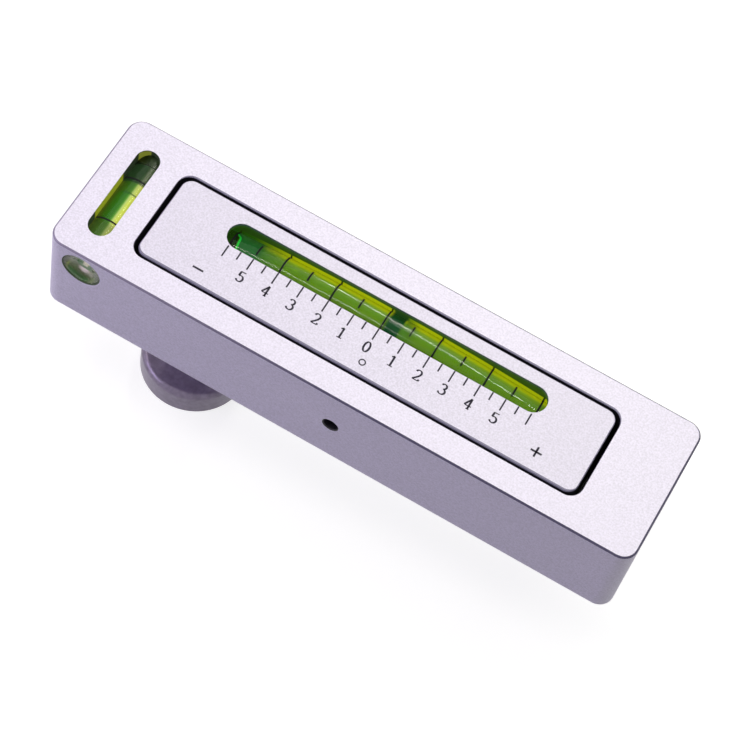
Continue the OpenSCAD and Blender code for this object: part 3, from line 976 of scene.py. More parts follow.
@dataclass
class CrossVial(Vial):
    """The straight acrylic vial across the bar, with its barrel-shaped chamber, spirit, bubble and rings.

    The place along it is y, and the turn grows to the positive end of the bar.
    """

    fluid_gap: float = 0.25 * MM
    air_thickness: float = 0.05 * MM
    bubble_spread: float = 56.0
    bluntness: int = 10
    barrel_r: float = 500 * MM
    dish_r: float = 9 * MM
    dish_depth: float = 0.8 * MM
    pole: float = 0.02 * MM
    rings_at: tuple[float, ...] = (5.15 * MM, -6.75 * MM)
    # The painted streak of light on the chamber's front end, as pairs of millimetres and colour code.
    streak: Stops = ()

    def __post_init__(self) -> None:
        """Takes the axis, the radii and the chamber from the frame."""
        low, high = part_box("cross_tube")
        self.axis_x, self.axis_z = (low.x + high.x) / 2, (low.z + high.z) / 2
        self.outer_r = (high.x - low.x) / 2
        self.front, self.back = low.y, high.y
        fluid_low, fluid_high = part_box("cross_fluid")
        self.chamber_r = (fluid_high.x - fluid_low.x) / 2
        self.chamber_front, self.chamber_back = fluid_low.y, fluid_high.y
        self.middle = (self.chamber_front + self.chamber_back) / 2
        self.bubble_low, self.bubble_high = (corner.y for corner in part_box("cross_bubble"))

    def build(self) -> None:
        """Makes the vial's pieces."""
        self.acrylic()
        self.spirit()
        self.bubble()
        self.rings()

    def barrel(self, y: np.ndarray) -> np.ndarray:
        """The chamber's radius at y: an arc of the barrel radius, widest in the middle."""
        return self.chamber_r - self.barrel_r + np.sqrt(self.barrel_r ** 2 - (y - self.middle) ** 2)

    def points(self, place: np.ndarray, turn: np.ndarray, distance: np.ndarray) -> np.ndarray:
        """Places in metres: the section's point is moved along the axis.

        Args:
            place: The place along the axis, in metres.
            turn: The turn round it, in radians.
            distance: The distance from it, in metres.

        Returns:
            The places, in a last axis of three.
        """
        y, turn, distance = np.broadcast_arrays(place, turn, distance)
        return np.stack([self.axis_x + distance * np.sin(turn), y, self.axis_z + distance * np.cos(turn)], -1)

    def acrylic(self) -> None:
        """The acrylic body: barrel chamber, plug bore, outside and dished front, as one turned profile.

        The dish is a part of a sphere: at a distance r from the axis it lies at the sphere's centre plus the root
        of R squared less r squared. Both ends of the profile are poles.
        """
        along = np.linspace(self.chamber_front, self.chamber_back, 40)
        bore_y = np.concatenate([[self.chamber_front], along, [self.back]])
        bore_r = np.concatenate([[self.pole], self.barrel(along), [self.barrel(self.chamber_back)]])
        side = np.linspace(self.back, self.front, 30)
        rim = math.sqrt(self.dish_r ** 2 - (self.dish_r - self.dish_depth) ** 2)
        dish = np.linspace(rim, self.pole, 14)
        dish_y = self.front + self.dish_depth - self.dish_r + np.sqrt(self.dish_r ** 2 - dish ** 2)
        y = np.concatenate([bore_y, side, dish_y])
        radius = np.concatenate([bore_r, np.full(len(side), self.outer_r), dish])
        skin = carried(self.points(y[:, None], ROUND[None, :], radius[:, None]))
        ring = np.arange(len(y) - 1).repeat(len(ROUND))
        caps = np.repeat([1, 0], len(ROUND))
        skin.stuffs = np.concatenate([ring < len(bore_y) - 1, caps])
        make_piece("cross_acrylic", skin, self.glass.with_bore(), Body.BAR, "cross_tube")

    def spirit(self) -> None:
        """The spirit: the barrel's own shape, a little smaller, with a painted streak of light on its front end."""
        steps, inset = 60, self.fluid_gap / 2
        y = np.linspace(self.chamber_front + inset, self.chamber_back - inset, steps)
        skin = self.rod(y, self.barrel(y) - self.fluid_gap, y)
        skin.stuffs = np.zeros(len(skin.faces))
        front_cap = (steps - 1) * len(ROUND)
        skin.stuffs[front_cap:front_cap + len(ROUND)] = 1
        middle = Vector((self.axis_x, self.chamber_front, self.axis_z))
        end = ChamberEnd("spirit_end_of_chamber", self.streak, middle)
        make_piece("cross_spirit", skin, [self.dye.build(), end.build()], Body.BAR, "cross_fluid")

    def bubble(self) -> None:
        """The bubble, blunt at both ends."""
        share, _, turn, distance = self.shell(self.barrel(self.chamber_back) - self.air_gap)
        length = self.bubble_high - self.bubble_low
        y = (self.bubble_low + self.bubble_high) / 2 + share * length / 2
        skin = carried(self.points(y, turn, distance), turn=np.degrees(turn), along=y / MM)
        make_piece("cross_air_bubble", skin, [self.air.build()], Body.CROSS_AIR, "cross_bubble")

    def rings(self) -> None:
        """The two painted rings: thin rectangles carried right round the vial."""
        along, distance = self.band()
        skins = [carried(self.points(place + along, ROUND[:, None], distance), Ends.JOINED)
                 for place in self.rings_at]
        make_piece("cross_vial_rings", gathered(skins), [self.ink], Body.BAR)


# The marks on the scale face


def arc(x: float, y: float, rx: float, ry: float, start: float, stop: float, count: int = 24) -> np.ndarray:
    """Points of a part of an ellipse: x + rx cos a and y + ry sin a, with a from start to stop in degrees."""
    a = np.radians(np.linspace(start, stop, count))
    return np.stack([x + rx * np.cos(a), y + ry * np.sin(a)], -1)


def line(*ends: tuple[float, float]) -> np.ndarray:
    """Points of a line with straight stretches."""
    return np.array(ends)


@dataclass
class ScaleFace:
    """The printed scale: ticks at half degrees, plain numbers, and plain signs in the places of words.

    Numbers are drawn with a broad pen: a stroke is as wide as its direction is upright. They are drawn in a box
    one unit high and then brought to their real height.
    """

    ink: Material
    pitch: float = 6.13 * MM
    last_degree: int = 6
    zero_x: float = 0.03 * MM
    number_shift: float = -0.1 * MM
    window_half: float = 3.3 * MM
    tick_front_of: float = 0.05 * MM
    long_tick: float = 3.05 * MM
    short_tick: float = 2.1 * MM
    tick_width: float = 0.35 * MM
    number_height: float = 2.75 * MM
    number_top: float = -2.65 * MM
    thick: float = 0.165
    thin: float = 0.085
    paint: float = 0.02 * MM
    paint_sunk: float = 0.005 * MM
    minus_at: tuple[float, float] = (-39.3 * MM, -7.35 * MM)
    plus_at: tuple[float, float] = (41.7 * MM, -6.25 * MM)
    degree_at: tuple[float, float] = (0.9 * MM, -7.75 * MM)
    sign_size: float = 2.6 * MM
    sign_width: float = 0.45 * MM
    degree_r: float = 0.676 * MM
    degree_width: float = 0.3 * MM

    def __post_init__(self) -> None:
        """Takes the face's height and the window's front edge from the frame."""
        self.face_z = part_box("scale_block")[1].z
        low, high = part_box("camber_tube")
        self.window_edge = (low.y + high.y) / 2 - self.window_half

    def build(self) -> None:
        """Makes the printed pieces."""
        self.ticks()
        self.numbers()
        self.signs()

    def stroke(self, path: np.ndarray, width: np.ndarray | float, ends: Ends = Ends.CAPPED) -> Skin:
        """A flat line of paint: a rectangle as wide as asked is carried along the path.

        Args:
            path: The middle line's points, in metres.
            width: The width at each point, or one for all.
            ends: Whether the path closes on itself.

        Returns:
            The skin of the line.
        """
        if ends is Ends.JOINED:
            ahead, behind = np.roll(path, -1, 0), np.roll(path, 1, 0)
        else:
            ahead, behind = np.vstack([path[1:], path[-1:]]), np.vstack([path[:1], path[:-1]])
        way = ahead - behind
        way /= np.linalg.norm(way, axis=1)[:, None]
        side = np.stack([-way[:, 1], way[:, 0]], -1) * np.broadcast_to(width, len(path))[:, None] / 2
        low, high = self.face_z - self.paint_sunk, self.face_z + self.paint
        corners = [(path + side, low), (path - side, low), (path - side, high), (path + side, high)]
        rings = np.stack([np.column_stack([xy, np.full(len(path), z)]) for xy, z in corners], 1)
        return carried(rings, ends)

    def glyphs(self) -> dict[int, list[np.ndarray]]:
        """The pen's paths for the digits 0 to 5, in a box one unit high about the middle line.

        Returns:
            The paths of each digit.
        """
        return {
            0: [arc(0, 0.5, 0.23, 0.46, 0, 360, 49)],
            1: [line((0.02, 0.0), (0.02, 0.5), (0.02, 0.97)), line((-0.19, 0.83), (-0.08, 0.88), (0.02, 0.97)),
                line((-0.19, 0.03), (0.23, 0.03))],
            2: [np.vstack([arc(0, 0.72, 0.23, 0.24, 165, -10), line((0.16, 0.5), (-0.05, 0.25), (-0.25, 0.05))]),
                line((-0.25, 0.05), (0.25, 0.05)), line((0.24, 0.05), (0.27, 0.2))],
            3: [arc(-0.03, 0.74, 0.22, 0.22, 155, -85), arc(-0.03, 0.28, 0.27, 0.25, 85, -160)],
            4: [line((0.1, 0.97), (-0.28, 0.3)), line((-0.28, 0.3), (0.3, 0.3)),
                line((0.1, 0.0), (0.1, 0.5), (0.1, 0.97)), line((-0.03, 0.03), (0.22, 0.03))],
            5: [line((-0.17, 0.94), (0.23, 0.94)), line((-0.17, 0.95), (-0.2, 0.53)),
                arc(-0.03, 0.31, 0.26, 0.28, 128, -155)],
        }

    def number(self, digit: int, x: float) -> list[Skin]:
        """The strokes of one digit.

        Args:
            digit: The digit.
            x: Where its middle stands along the scale.

        Returns:
            The skins of its strokes.
        """
        skins = []
        foot = np.array([x, self.number_top - self.number_height])
        for path in self.glyphs()[digit]:
            step = np.gradient(path, axis=0)
            upright = np.abs(step[:, 1]) / np.linalg.norm(step, axis=1)
            width = (self.thin + (self.thick - self.thin) * upright) * self.number_height
            skins.append(self.stroke(foot + path * self.number_height, width))
        return skins

    def ticks(self) -> None:
        """The ticks: long ones at whole degrees and short ones at half degrees, from the window to the front."""
        skins = []
        start = self.window_edge - self.tick_front_of
        for half in range(-2 * self.last_degree, 2 * self.last_degree + 1):
            x = self.zero_x + half * self.pitch / 2
            length = self.short_tick if half % 2 else self.long_tick
            skins.append(self.stroke(line((x, start), (x, start - length)), self.tick_width))
        make_piece("scale_ticks", gathered(skins), [self.ink], Body.SCALE)

    def numbers(self) -> None:
        """The numbers at whole degrees, from 5 down to 0 and up to 5 again."""
        last = self.last_degree - 1
        skins = [skin for degree in range(-last, last + 1)
                 for skin in self.number(abs(degree), self.zero_x + self.number_shift + degree * self.pitch)]
        make_piece("scale_numbers", gathered(skins), [self.ink], Body.SCALE)

    def signs(self) -> None:
        """A minus at the negative end, a plus at the positive end and a degree sign in the middle."""
        level = np.array([[-0.5, 0.0], [0.5, 0.0]]) * self.sign_size
        upright = level[:, ::-1]
        ring = arc(0, 0, self.degree_r, self.degree_r, 0, 352.5, 47)
        skins = [self.stroke(level + self.minus_at, self.sign_width),
                 self.stroke(level + self.plus_at, self.sign_width),
                 self.stroke(upright + self.plus_at, self.sign_width),
                 self.stroke(ring + self.degree_at, self.degree_width, Ends.JOINED)]
        make_piece("scale_signs", gathered(skins), [self.ink], Body.SCALE)


# The machined and turned pieces


@dataclass
class MetalWork:
    """The finishes of the pieces that the frame already shapes, and the boxes that hold their painted shade and
    painted light.

    A box reaches a little past the walls that it colours, and stops just under the faces that it leaves alone. A
    glow is painted light, given off as emission, which makes a wall look lit by the dye: without it, shadow would
    hide it.
    """

    pale: str = "#DAD5E6"
    pale_block: str = "#D1CCDD"
    # Painted shade: the block's chamfers, the grey crescents at the pocket's back rim and the block's front edge,
    # and the dark walls of gaps and holes.
    painted_block_chamfer_shade: str = "#8A86A0"
    grey: str = "#706C84"
    gap: str = "#15131B"
    painted_block_wall_shade: str = "#2A2733"
    # Painted shade round the vials, most of it with a painted glow of the dye's light: the cross vial's window and
    # bore, a lit wall and patch in that window, and the camber window and chamber.
    painted_window_shade: str = "#42523A"
    bore: str = "#1E2A16"
    lit_wall: str = "#8C941E"
    lit_patch: str = "#868C30"
    slot: str = "#40544E"
    chamber: str = "#27480E"
    # Painted light of the dye on the chamber's walls, by the place along X, with the pin's painted shadow from 0.4
    # to 3.6 mm.
    painted_dye_light_and_shade: Stops = (
        (-40.0, "#1C4606"), (-34.0, "#2A5A0A"), (-31.0, "#5A7A0A"), (-27.5, "#8C9C08"), (-24.0, "#A4B008"),
        (0.0, "#A6B208"), (0.4, "#1E4418"), (3.6, "#1E4418"), (4.0, "#6A8810"), (6.5, "#A4B008"), (40.0, "#A2AC0A"))
    # Painted reflections of the tube's marks in the chamber's walls: the first place, the pitch and the width.
    painted_mark_reflections: tuple[float, float, float] = (-0.27 * MM, 12.44 * MM, 0.42 * MM)
    past: float = 0.3 * MM
    pocket_gap: tuple[float, float] = (1.1 * MM, 0.6 * MM)
    pocket_corner: float = 3.1 * MM
    pocket_rim: float = 0.42 * MM
    pocket_top: float = 0.12 * MM
    block_corner: float = 2.5 * MM
    block_rim: float = 0.58 * MM
    block_top: float = 0.22 * MM
    cross_window_inset: float = 8.0 * MM
    cross_window_half: tuple[float, float] = (2.9 * MM, 12.5 * MM)
    lit_wall_y: tuple[float, float] = (-7.2 * MM, 4.2 * MM)
    lit_wall_deep: float = 0.9 * MM
    lit_patch_y: tuple[float, float] = (10.3 * MM, 12.2 * MM)
    lit_patch_deep: float = 2.3 * MM
    camber_window_half: tuple[float, float] = (38.9 * MM, 3.6 * MM)
    chamber_roof: float = 0.75 * MM
    lit_below: float = 2.35 * MM
    bore_front: float = 0.05 * MM
    hole_face: float = 0.02 * MM
    window_top: float = 0.1 * MM
    slot_top: float = 0.12 * MM
    lit_wall_top: float = 0.15 * MM
    lit_patch_top: float = 0.3 * MM

    def bar_shades(self) -> tuple[Shade, ...]:
        """The bar's painted shade: the walls of the pocket, of the cross vial's window and bore, and of the holes,
        a grey crescent behind the pocket, and painted light of the dye in the window and bore.

        Returns:
            The shades, each painted over those before it.
        """
        low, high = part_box("body_bar")
        block_low, block_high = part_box("scale_block")
        vial_low, vial_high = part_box("cross_tube")
        pin_low, pin_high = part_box("pivot_pin")
        grow = Vector((*self.pocket_gap, 0.0))
        pocket_low, pocket_high = block_low - grow, block_high + grow
        up = Vector((0.0, 0.0, MM))
        level = Vector((self.past, self.past, 0.0))
        under = Vector((0.0, 0.0, self.pocket_top))
        # Painted shade on the pocket's walls.
        pocket = Shade(pocket_low - level - 2 * up, pocket_high + level - under, self.gap)
        # Painted shade of the pocket's rounded back rim: a grey crescent behind it.
        back = Vector((0.0, self.pocket_rim, 0.0))
        rim = Shade(pocket_low + back, pocket_high + back + up, self.grey, corner=self.pocket_corner, moved=-back)
        # Painted shade in the cross vial's bore, with a painted glow of the dye's light.
        round_y = Vector((self.past, 0.0, self.past))
        bore_low, bore_high = vial_low - round_y, vial_high + round_y
        bore_low.y = low.y + self.bore_front
        bore = Shade(bore_low, bore_high, self.bore, glow=0.5)
        # Painted shade in the pivot pin's hole.
        hole_low, hole_high = pin_low - round_y, pin_high + round_y
        hole_low.y, hole_high.y = low.y + self.hole_face, high.y - self.hole_face
        hole = Shade(hole_low, hole_high, self.gap)
        # Painted shade on the cross vial's window walls, and painted light of the dye, as a glow, on part of its
        # left wall and a patch at its back.
        middle, (half_x, half_y) = low.x + self.cross_window_inset, self.cross_window_half
        start, floor = middle - half_x, vial_low.z
        window = Shade(*spans((start, middle + half_x), (-half_y, half_y), (floor, high.z - self.window_top)),
                       self.painted_window_shade)
        wall = Shade(*spans((start, start + self.lit_wall_deep), self.lit_wall_y,
                            (floor, high.z - self.lit_wall_top)), self.lit_wall, glow=0.58)
        patch = Shade(*spans((start, start + self.lit_patch_deep), self.lit_patch_y,
                             (floor, high.z - self.lit_patch_top)), self.lit_patch, glow=0.5)
        return rim, pocket, bore, window, wall, patch, hole

    def block_shades(self) -> tuple[Shade, ...]:
        """The block's painted shade and light: a grey crescent at its front edge, its walls in the gap, the window
        and chamber, and the painted light of the dye on them.

        Returns:
            The shades, each painted over those before it.
        """
        low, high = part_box("scale_block")
        tube_low, tube_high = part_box("camber_tube")
        middle = (tube_low.y + tube_high.y) / 2
        up = Vector((0.0, 0.0, MM))
        level = Vector((MM, MM, 0.0))
        # Painted shade of the block's rounded front edge: a grey crescent.
        rim = Vector((0.0, self.block_rim, 0.0))
        edge = Shade(low, high + up, self.grey, corner=self.block_corner, moved=rim)
        # Painted shade on the block's walls in the gap.
        walls = Shade(low - level, high + level - Vector((0.0, 0.0, self.block_top)), self.painted_block_wall_shade)
        # Painted shade on the camber window's walls, with a painted glow of the dye's light.
        half_x, half_y = self.camber_window_half
        window = Shade(*spans((-half_x, half_x), (middle - half_y, middle + half_y),
                              (low.z, high.z - self.slot_top)), self.slot, glow=0.35)
        # Painted shade in the chamber, with a painted glow of the dye's light.
        box = spans((tube_low.x - MM, tube_high.x + MM), (tube_low.y - MM, tube_high.y + MM),
                    (low.z - MM, high.z - self.chamber_roof))
        centre = Vector(joint_of("camber_bubble_travel")["pos_m"])
        arch = (centre, tube_high.z - centre.z - self.lit_below)
        # Painted light of the dye on the chamber's walls under an arc below the tube's crown, with the pin's
        # painted shadow and painted reflections of the marks.
        lit = Shade(*box, self.painted_dye_light_and_shade, glow=0.62, below=arch, lines=self.painted_mark_reflections)
        return edge, walls, window, Shade(*box, self.chamber, glow=0.6), lit

    def finishes(self) -> tuple[tuple[Grained, tuple[str, ...]], ...]:
        """The finish of each node that keeps its own shape.

        Returns:
            Pairs of a finish and the names of its nodes.
        """
        # Beads leave even dents of about 0.1 mm, and clear anodising keeps them: a pale, soft face with a fine
        # sparkle and no highlight. The dents are too fine to show, so they are drawn at 0.4 mm.
        blasted = dict(metallic=0.14, roughness=0.5, grain_mm=0.4, mottle=0.12, relief_mm=0.004,
                       edge_z=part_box("body_bar")[1].z - 0.5 * MM)
        bar = BlastedAluminium("aluminium_blasted_anodised_bar", self.pale, shades=self.bar_shades(), **blasted)
        block = BlastedAluminium("aluminium_blasted_anodised_block", self.pale_block, edge=self.painted_block_chamfer_shade,
                                 shades=self.block_shades(), **blasted)
        # An oiled black oxide: nearly black, with a soft grey highlight. Its pits are drawn coarser than they are.
        black = Grained("spring_steel_blackened", "#3A3A40", metallic=0.8, roughness=0.4, grain_mm=0.3)
        # Thin nickel over the lathe's rings: a bright grey whose highlight breaks up into level lines.
        turned = TurnedSteel("steel_turned_nickel_plated", "#A19BAA", metallic=0.9, roughness=0.32, grain_mm=0.4,
                             mottle=0.04, relief_mm=0.006)
        # Drawing stretches the sheet, and satin nickel keeps its cloudy skin: a dull violet grey with soft blotches
        # of about a millimetre and a wide highlight on the shoulder.
        cup = Grained("steel_pressed_satin_nickel", "#8E8396", metallic=0.3, roughness=0.34, grain_mm=1.1,
                      mottle=0.16, relief_mm=0.01)
        # Barrel-plated nickel on a sintered ring: close to a mirror, with a faint ripple.
        magnet = Grained("magnet_bright_nickel", "#B4B2B8", metallic=1.0, roughness=0.2, grain_mm=0.8, mottle=0.03,
                         relief_mm=0.002)
        # Poured epoxy sets with a wet gloss: a black ring with a clear highlight.
        epoxy = Grained("epoxy_cast_black", "#1B1A1E", roughness=0.35, grain_mm=0.8, mottle=0.1)
        # Moulded nylon: milky, with the dull gloss of a tool that isn't polished.
        nylon = Grained("nylon_moulded", "#E9E6DC", roughness=0.45, grain_mm=0.8, mottle=0.03, relief_mm=0.005)
        # Moulded rubber: dull and dark, so that the vials look dark at their ends.
        rubber = Grained("rubber_moulded_dark_green", "#22321A", roughness=0.6, mottle=0.1)
        # Cast resin with chalk in it: cream, matt and slightly lumpy.
        resin = Grained("resin_cast_cream", "#D9D5C4", grain_mm=1.0, mottle=0.04)
        return (
            (bar, ("body_bar",)),
            (block, ("scale_block",)),
            (black, ("pivot_pin", "calibration_screw_left", "calibration_screw_right")),
            (turned, ("ball_stud", "lock_nut", "socket_base", "socket_cap", "foot_screw")),
            (cup, ("magnet_cup",)),
            (magnet, ("magnet_ring",)),
            (epoxy, ("potting_ring",)),
            (nylon, ("ball_seat",)),
            (rubber, ("camber_stopper_left", "camber_stopper_right", "cross_stopper")),
            (resin, ("vial_bed_left", "vial_bed_right")),
        )

    def finish_all(self) -> None:
        """Gives those nodes their materials."""
        for finish, names in self.finishes():
            material = finish.build()
            for name in names:
                node = frame["nodes"][name]
                node.data.materials.clear()
                node.data.materials.append(material)
                log.info("%s: %s", name, material.name)


# The studio


@dataclass(frozen=True)
class PaleFloor(Finish):
    """A pale paper floor that a little light of its own makes white, and that keeps the gauge's shadow.

    Far from the gauge its own light grows to that of the world, so that no horizon shows from low down.

    Attributes:
        bounce: The colour that it throws back at the gauge.
        faint: The grey that takes the shadow.
        near: The distance up to which its own light is the lower one.
        far: The distance from which it is the higher one.
        own: Its own light there, where 1 is white.
    """

    bounce: str = "#7A7488"
    faint: float = 0.35
    near: float = 0.2
    far: float = 0.8
    own: tuple[float, float] = (0.8, 1.0)

    def surface(self, tree: Tree) -> Socket:
        """White paper for what is seen, and plain matt paper for the light that reaches the gauge.

        Args:
            tree: The material's node tree.

        Returns:
            The shader's socket.
        """
        matt = add_node(tree, "BsdfDiffuse", linear(self.bounce))
        shadowed = add_node(tree, "BsdfDiffuse", (self.faint, self.faint, self.faint, 1.0))
        away = add_node(tree, "VectorMath LENGTH", add_node(tree, "TexCoord", out="Object"), out=1)
        strength = add_node(tree, "MapRange", away, self.near, self.far, *self.own)
        both = add_node(tree, "AddShader", shadowed, add_node(tree, "Emission", WHITE, strength))
        return add_node(tree, "MixShader", seen_ray(tree), matt, both)


def seen_ray(tree: Tree) -> Socket:
    """A socket that is 1 for rays from the camera, off gloss and through glass, and 0 for others.

    Args:
        tree: The node tree.

    Returns:
        The socket.
    """
    path = add_node(tree, "LightPath").node.outputs
    first = add_node(tree, "Math MAXIMUM", path["Is Camera Ray"], path["Is Glossy Ray"])
    return add_node(tree, "Math MAXIMUM", first, path["Is Transmission Ray"])


@dataclass
class Lamp:
    """One soft lamp, placed by the direction in which the gauge sees it.

    Attributes:
        name: Its name.
        towards: The direction from the gauge to the lamp.
        distance: How far away it is, in metres.
        width: Its short side, in metres.
        length: Its long side, in metres.
        long_axis: The direction of its long side.
        light: How bright it makes a white level face, where 1 is white.
        colour: The colour of its light.
    """

    name: str
    towards: tuple[float, float, float]
    distance: float
    width: float
    length: float
    long_axis: tuple[float, float, float]
    light: float
    colour: str = "#FFFDF5"

    def place(self, target: Vector) -> None:
        """Puts the lamp in place, facing the target, with the power that gives its light.

        A white face that is level gets power * cos / (pi * pi * distance squared).

        Args:
            target: The place that it faces.
        """
        away = Vector(self.towards).normalized()
        lamp = bpy.data.lights.new(self.name, "AREA")
        lamp.shape = "RECTANGLE"
        lamp.size = self.width
        lamp.size_y = self.length
        lamp.color = linear(self.colour)[:3]
        lamp.energy = self.light * math.pi ** 2 * self.distance ** 2 / away.z
        along = Vector(self.long_axis)
        along = (along - along.dot(away) * away).normalized()
        turned = Matrix((along.cross(away), along, away)).transposed().to_4x4()
        thing = bpy.data.objects.new(self.name, lamp)
        thing.matrix_world = Matrix.Translation(target + away * self.distance) @ turned
        bpy.context.scene.collection.objects.link(thing)


@dataclass
class Studio:
    """Camera, lamps, world and floor. The picture is square, and the sensor covers its width."""

    azimuth: float = 14.977
    elevation: float = 61.4185
    roll: float = 15.945
    lens: float = 125.8446
    sensor: float = 36.0
    clip: tuple[float, float] = (0.05, 20.0)
    distance: float = 560.92 * MM
    target: tuple[float, float, float] = (2.874 * MM, -2.319 * MM, 42.8 * MM)
    lamp_target: tuple[float, float, float] = (0.0, 0.0, 50 * MM)
    fill: float = 0.13
    fill_colour: str = "#E2D6FF"
    above: str = "#FDFFEC"
    floor_size: float = 3.0

    def camera(self) -> None:
        """The camera: turned by azimuth and elevation, then rolled about its own axis."""
        az, el, roll = (math.radians(a) for a in (self.azimuth, self.elevation, self.roll))
        forward = Vector((-math.sin(az) * math.cos(el), math.cos(az) * math.cos(el), -math.sin(el)))
        level = Vector((math.cos(az), math.sin(az), 0.0))
        right = math.cos(roll) * level + math.sin(roll) * level.cross(forward)
        turned = Matrix((right, right.cross(forward), -forward)).transposed().to_4x4()
        camera = bpy.data.cameras.new("camera")
        camera.lens, camera.sensor_width = self.lens, self.sensor
        camera.clip_start, camera.clip_end = self.clip
        thing = bpy.data.objects.new("camera", camera)
        thing.matrix_world = Matrix.Translation(Vector(self.target) - forward * self.distance) @ turned
        bpy.context.scene.collection.objects.link(thing)
        bpy.context.scene.camera = thing

    def lamps(self) -> None:
        """A long strip behind and above, and small lamps whose glints show in the vials and on the foot."""
        lamps = (
            Lamp("key_lamp", (0.45, 0.0, 0.89), 0.8, 0.4, 0.4, (1, 0, 0), 0.20, self.above),
            Lamp("strip_lamp", (-0.0875, 0.665, 0.741), 0.6, 0.045, 0.8, (0.501, -0.614, 0.610), 0.44, self.above),
            Lamp("left_lamp", (-0.80, 0.10, 0.58), 0.6, 0.10, 0.45, (0.13, -0.65, 0.33), 0.10, "#FFF4F2"),
            Lamp("front_lamp", (-0.76, -0.52, 0.40), 0.40, 0.16, 0.16, (0, 0, 1), 0.11, self.fill_colour),
            Lamp("glint_lamp", (-0.288, -0.171, 0.942), 0.7, 0.07, 0.36, (0.721, -0.686, 0.101), 0.20),
            Lamp("cross_lamp", (-0.096, 0.474, 0.875), 0.7, 0.035, 0.12, (0, 0.88, -0.47), 0.02),
        )
        for lamp in lamps:
            lamp.place(Vector(self.lamp_target))

    def world(self) -> None:
        """A white world, which lights matt faces only with its soft fill."""
        world = bpy.data.worlds.new("studio")
        world.use_nodes = True
        tree = world.node_tree
        tree.nodes.clear()
        *base, alpha = linear(self.fill_colour)
        fill = (*(c * self.fill for c in base), alpha)
        colour = painted_over(tree, fill, (seen_ray(tree), WHITE))
        add_node(tree, "OutputWorld", add_node(tree, "Background", colour, 1.0))
        bpy.context.scene.world = world

    def floor(self) -> None:
        """A plain square floor under the gauge."""
        half = self.floor_size / 2
        mesh = bpy.data.meshes.new("studio_floor")
        corners = [(-half, -half, 0), (half, -half, 0), (half, half, 0), (-half, half, 0)]
        mesh.from_pydata(corners, [], [(0, 1, 2, 3)])
        mesh.materials.append(PaleFloor("paper_pale_floor").build())
        thing = bpy.data.objects.new("studio_floor", mesh)
        bpy.context.scene.collection.objects.link(thing)

    def build(self) -> None:
        """Sets up the whole studio."""
        bpy.context.scene.view_settings.view_transform = "Standard"
        self.camera()
        self.lamps()
        self.world()
        self.floor()


# The dye turns blue light into green, which runs along the tube. Here that glow is painted light, and the colours
# round the tube are painted light and shade: yellow where the wall behind it is lit and dark green where it isn't.
# The painted shades along it darken its negative end and the spirit beside the pivot pin, and the last is the pin's
# shadow.
CAMBER_SPIRIT = DyedSpiritPaintedLight(
    "spirit_dyed_fluorescent_camber",
    around=((-180, "#2F4A08"), (-85, "#98A404"), (-60, "#B4BE0A"), (-46, "#AEBB16"), (-36, "#84A222"),
            (-26, "#688A26"), (-14, "#5A8020"), (-2, "#507A0A"), (14, "#527806"), (28, "#4E7212"), (50, "#465612"),
            (180, "#2F4A08")),
    painted_shades=(("#1C5A28", ((-36.0, 0.97), (-31.3, 0.97), (-29.6, 0.55), (-27.0, 0.3), (-24.0, 0.0))),
            ("#35641A", ((3.8, 0.0), (4.0, 0.85), (5.2, 0.6), (7.5, 0.0))),
            ("#003A1A", ((0.2, 0.0), (0.5, 0.98), (3.6, 0.98), (3.9, 0.0)))))
# The same dye behind a thick wall, in painted light and shade: dark at the sides, with a painted pale yellow band
# where the sky would show in it. The painted shades darken it behind the back ring and in front of the front one,
# and the pool is painted light of the window, which the dished front gathers.
CROSS_SPIRIT = DyedSpiritPaintedLight(
    "spirit_dyed_fluorescent_cross",
    around=((-180, "#2A3A10"), (-95, "#5E6A22"), (-80, "#54641C"), (-66, "#3A5416"), (-40, "#38601C"),
            (-25, "#3C6A20"), (-12, "#447524"), (-5, "#5E8A30"), (1, "#B4BE70"), (8, "#C0C44E"), (20, "#C0C054"),
            (40, "#9A9C48"), (180, "#2A3A10")),
    painted_shades=(("#263C26", ((4.8, 0.0), (5.1, 0.93), (8.0, 0.95), (10.2, 0.95))),
            ("#4A5A2C", ((-7.2, 0.5), (-6.7, 0.0)))),
    pool=(-169.0, 12.0, -10.1, 2.9))
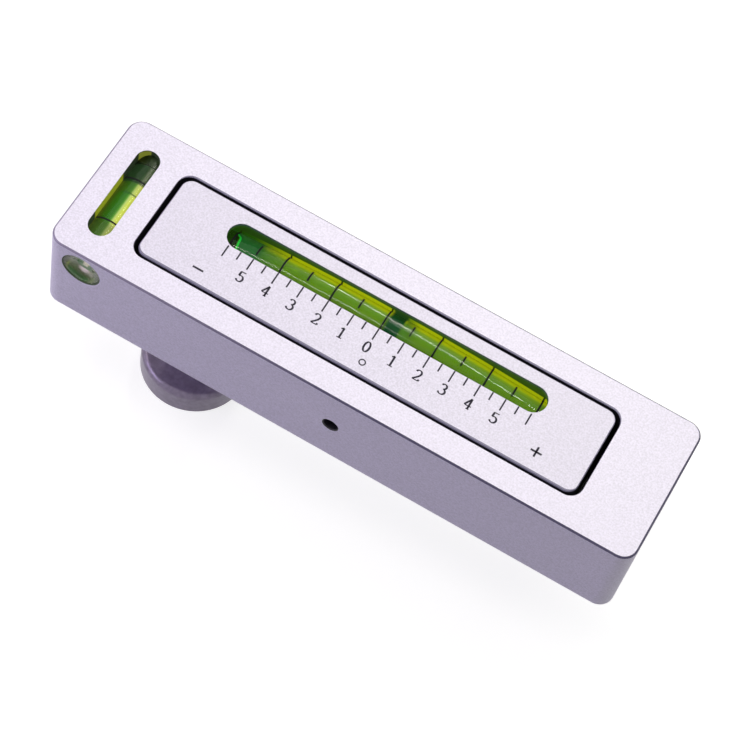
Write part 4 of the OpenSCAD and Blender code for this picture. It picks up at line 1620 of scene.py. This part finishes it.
# Air under a thick wall: the spirit's own painted light and shade, a little brighter, and a painted shade past its
# front edge.
CROSS_AIR = DyedSpiritPaintedLight(
    "air_bubble_cross",
    around=((-180, "#2A3A10"), (-95, "#72831B"), (-80, "#5E721A"), (-66, "#3A6016"), (-40, "#306418"),
            (-25, "#326E1E"), (-12, "#3C7824"), (-5, "#5E9838"), (1, "#C4CE7C"), (8, "#CCD04C"), (20, "#CACA50"),
            (40, "#A2A44C"), (180, "#2A3A10")),
    painted_shades=(("#1C4A1A", ((1.75, 0.0), (1.9, 0.85))),))
# Air under a thin wall, in painted light and shade: a painted bright line where its curved rim bends the dye's
# light up, and painted dark within it.
CAMBER_AIR = AirBubble("air_bubble_camber", ((0.0, "#1C5A28"), (0.12, "#1FB036"), (0.45, "#1CB834"),
                                             (0.6, "#2E4A14"), (0.9, "#10260A"), (3.0, "#1C3C0A")))
# The chamber's flat end, as pairs of millimetres and colour: dark green with a painted pale streak of gathered
# light.
CROSS_FRONT = ((-3.0, "#1A3414"), (-1.4, "#285A20"), (-0.7, "#2E6626"), (-0.4, "#D8C6C0"), (0.9, "#E0D0C8"),
               (1.15, "#5A765A"), (2.0, "#3E5A40"), (3.0, "#26362A"))
# Drawn glass keeps the smooth skin of the melt: long narrow glints, and nothing of its own colour.
GLASS = ClearGlass("glass_drawn_borosilicate", "#F4FAEE", 1.47, 0.1)
# Cast acrylic, turned and polished: faint tool marks spread the glints, and its thick wall looks a little green.
ACRYLIC = ClearGlass("acrylic_cast_polished", "#E4F2D4", 1.49, 0.18)
# Ink baked on glass: a dull black film. Its pores are too fine to show, and are drawn at 0.3 mm.
INK = Grained("ink_printed_black", "#121114", roughness=0.8, grain_mm=0.3, mottle=0.1, relief_mm=0.001, gloss=0.2)
# The same ink on blasted metal: pale grains come through it, so it looks a worn dark grey.
WORN_INK = Grained("ink_printed_worn_grey", "#37333F", roughness=0.8, grain_mm=0.3, mottle=0.2, relief_mm=0.001,
                   gloss=0.2)


def main() -> None:
    """Builds the gauge's looks in order: studio, metal, vials and marks."""
    logging.basicConfig(level=logging.INFO, format="%(name)s: %(message)s")
    Studio().build()
    MetalWork().finish_all()
    ink = INK.build()
    CamberVial(ink, GLASS, CAMBER_SPIRIT, CAMBER_AIR).build()
    CrossVial(ink, ACRYLIC, CROSS_SPIRIT, CROSS_AIR, streak=CROSS_FRONT).build()
    ScaleFace(WORN_INK.build()).build()


if __name__ == "__main__":
    main()
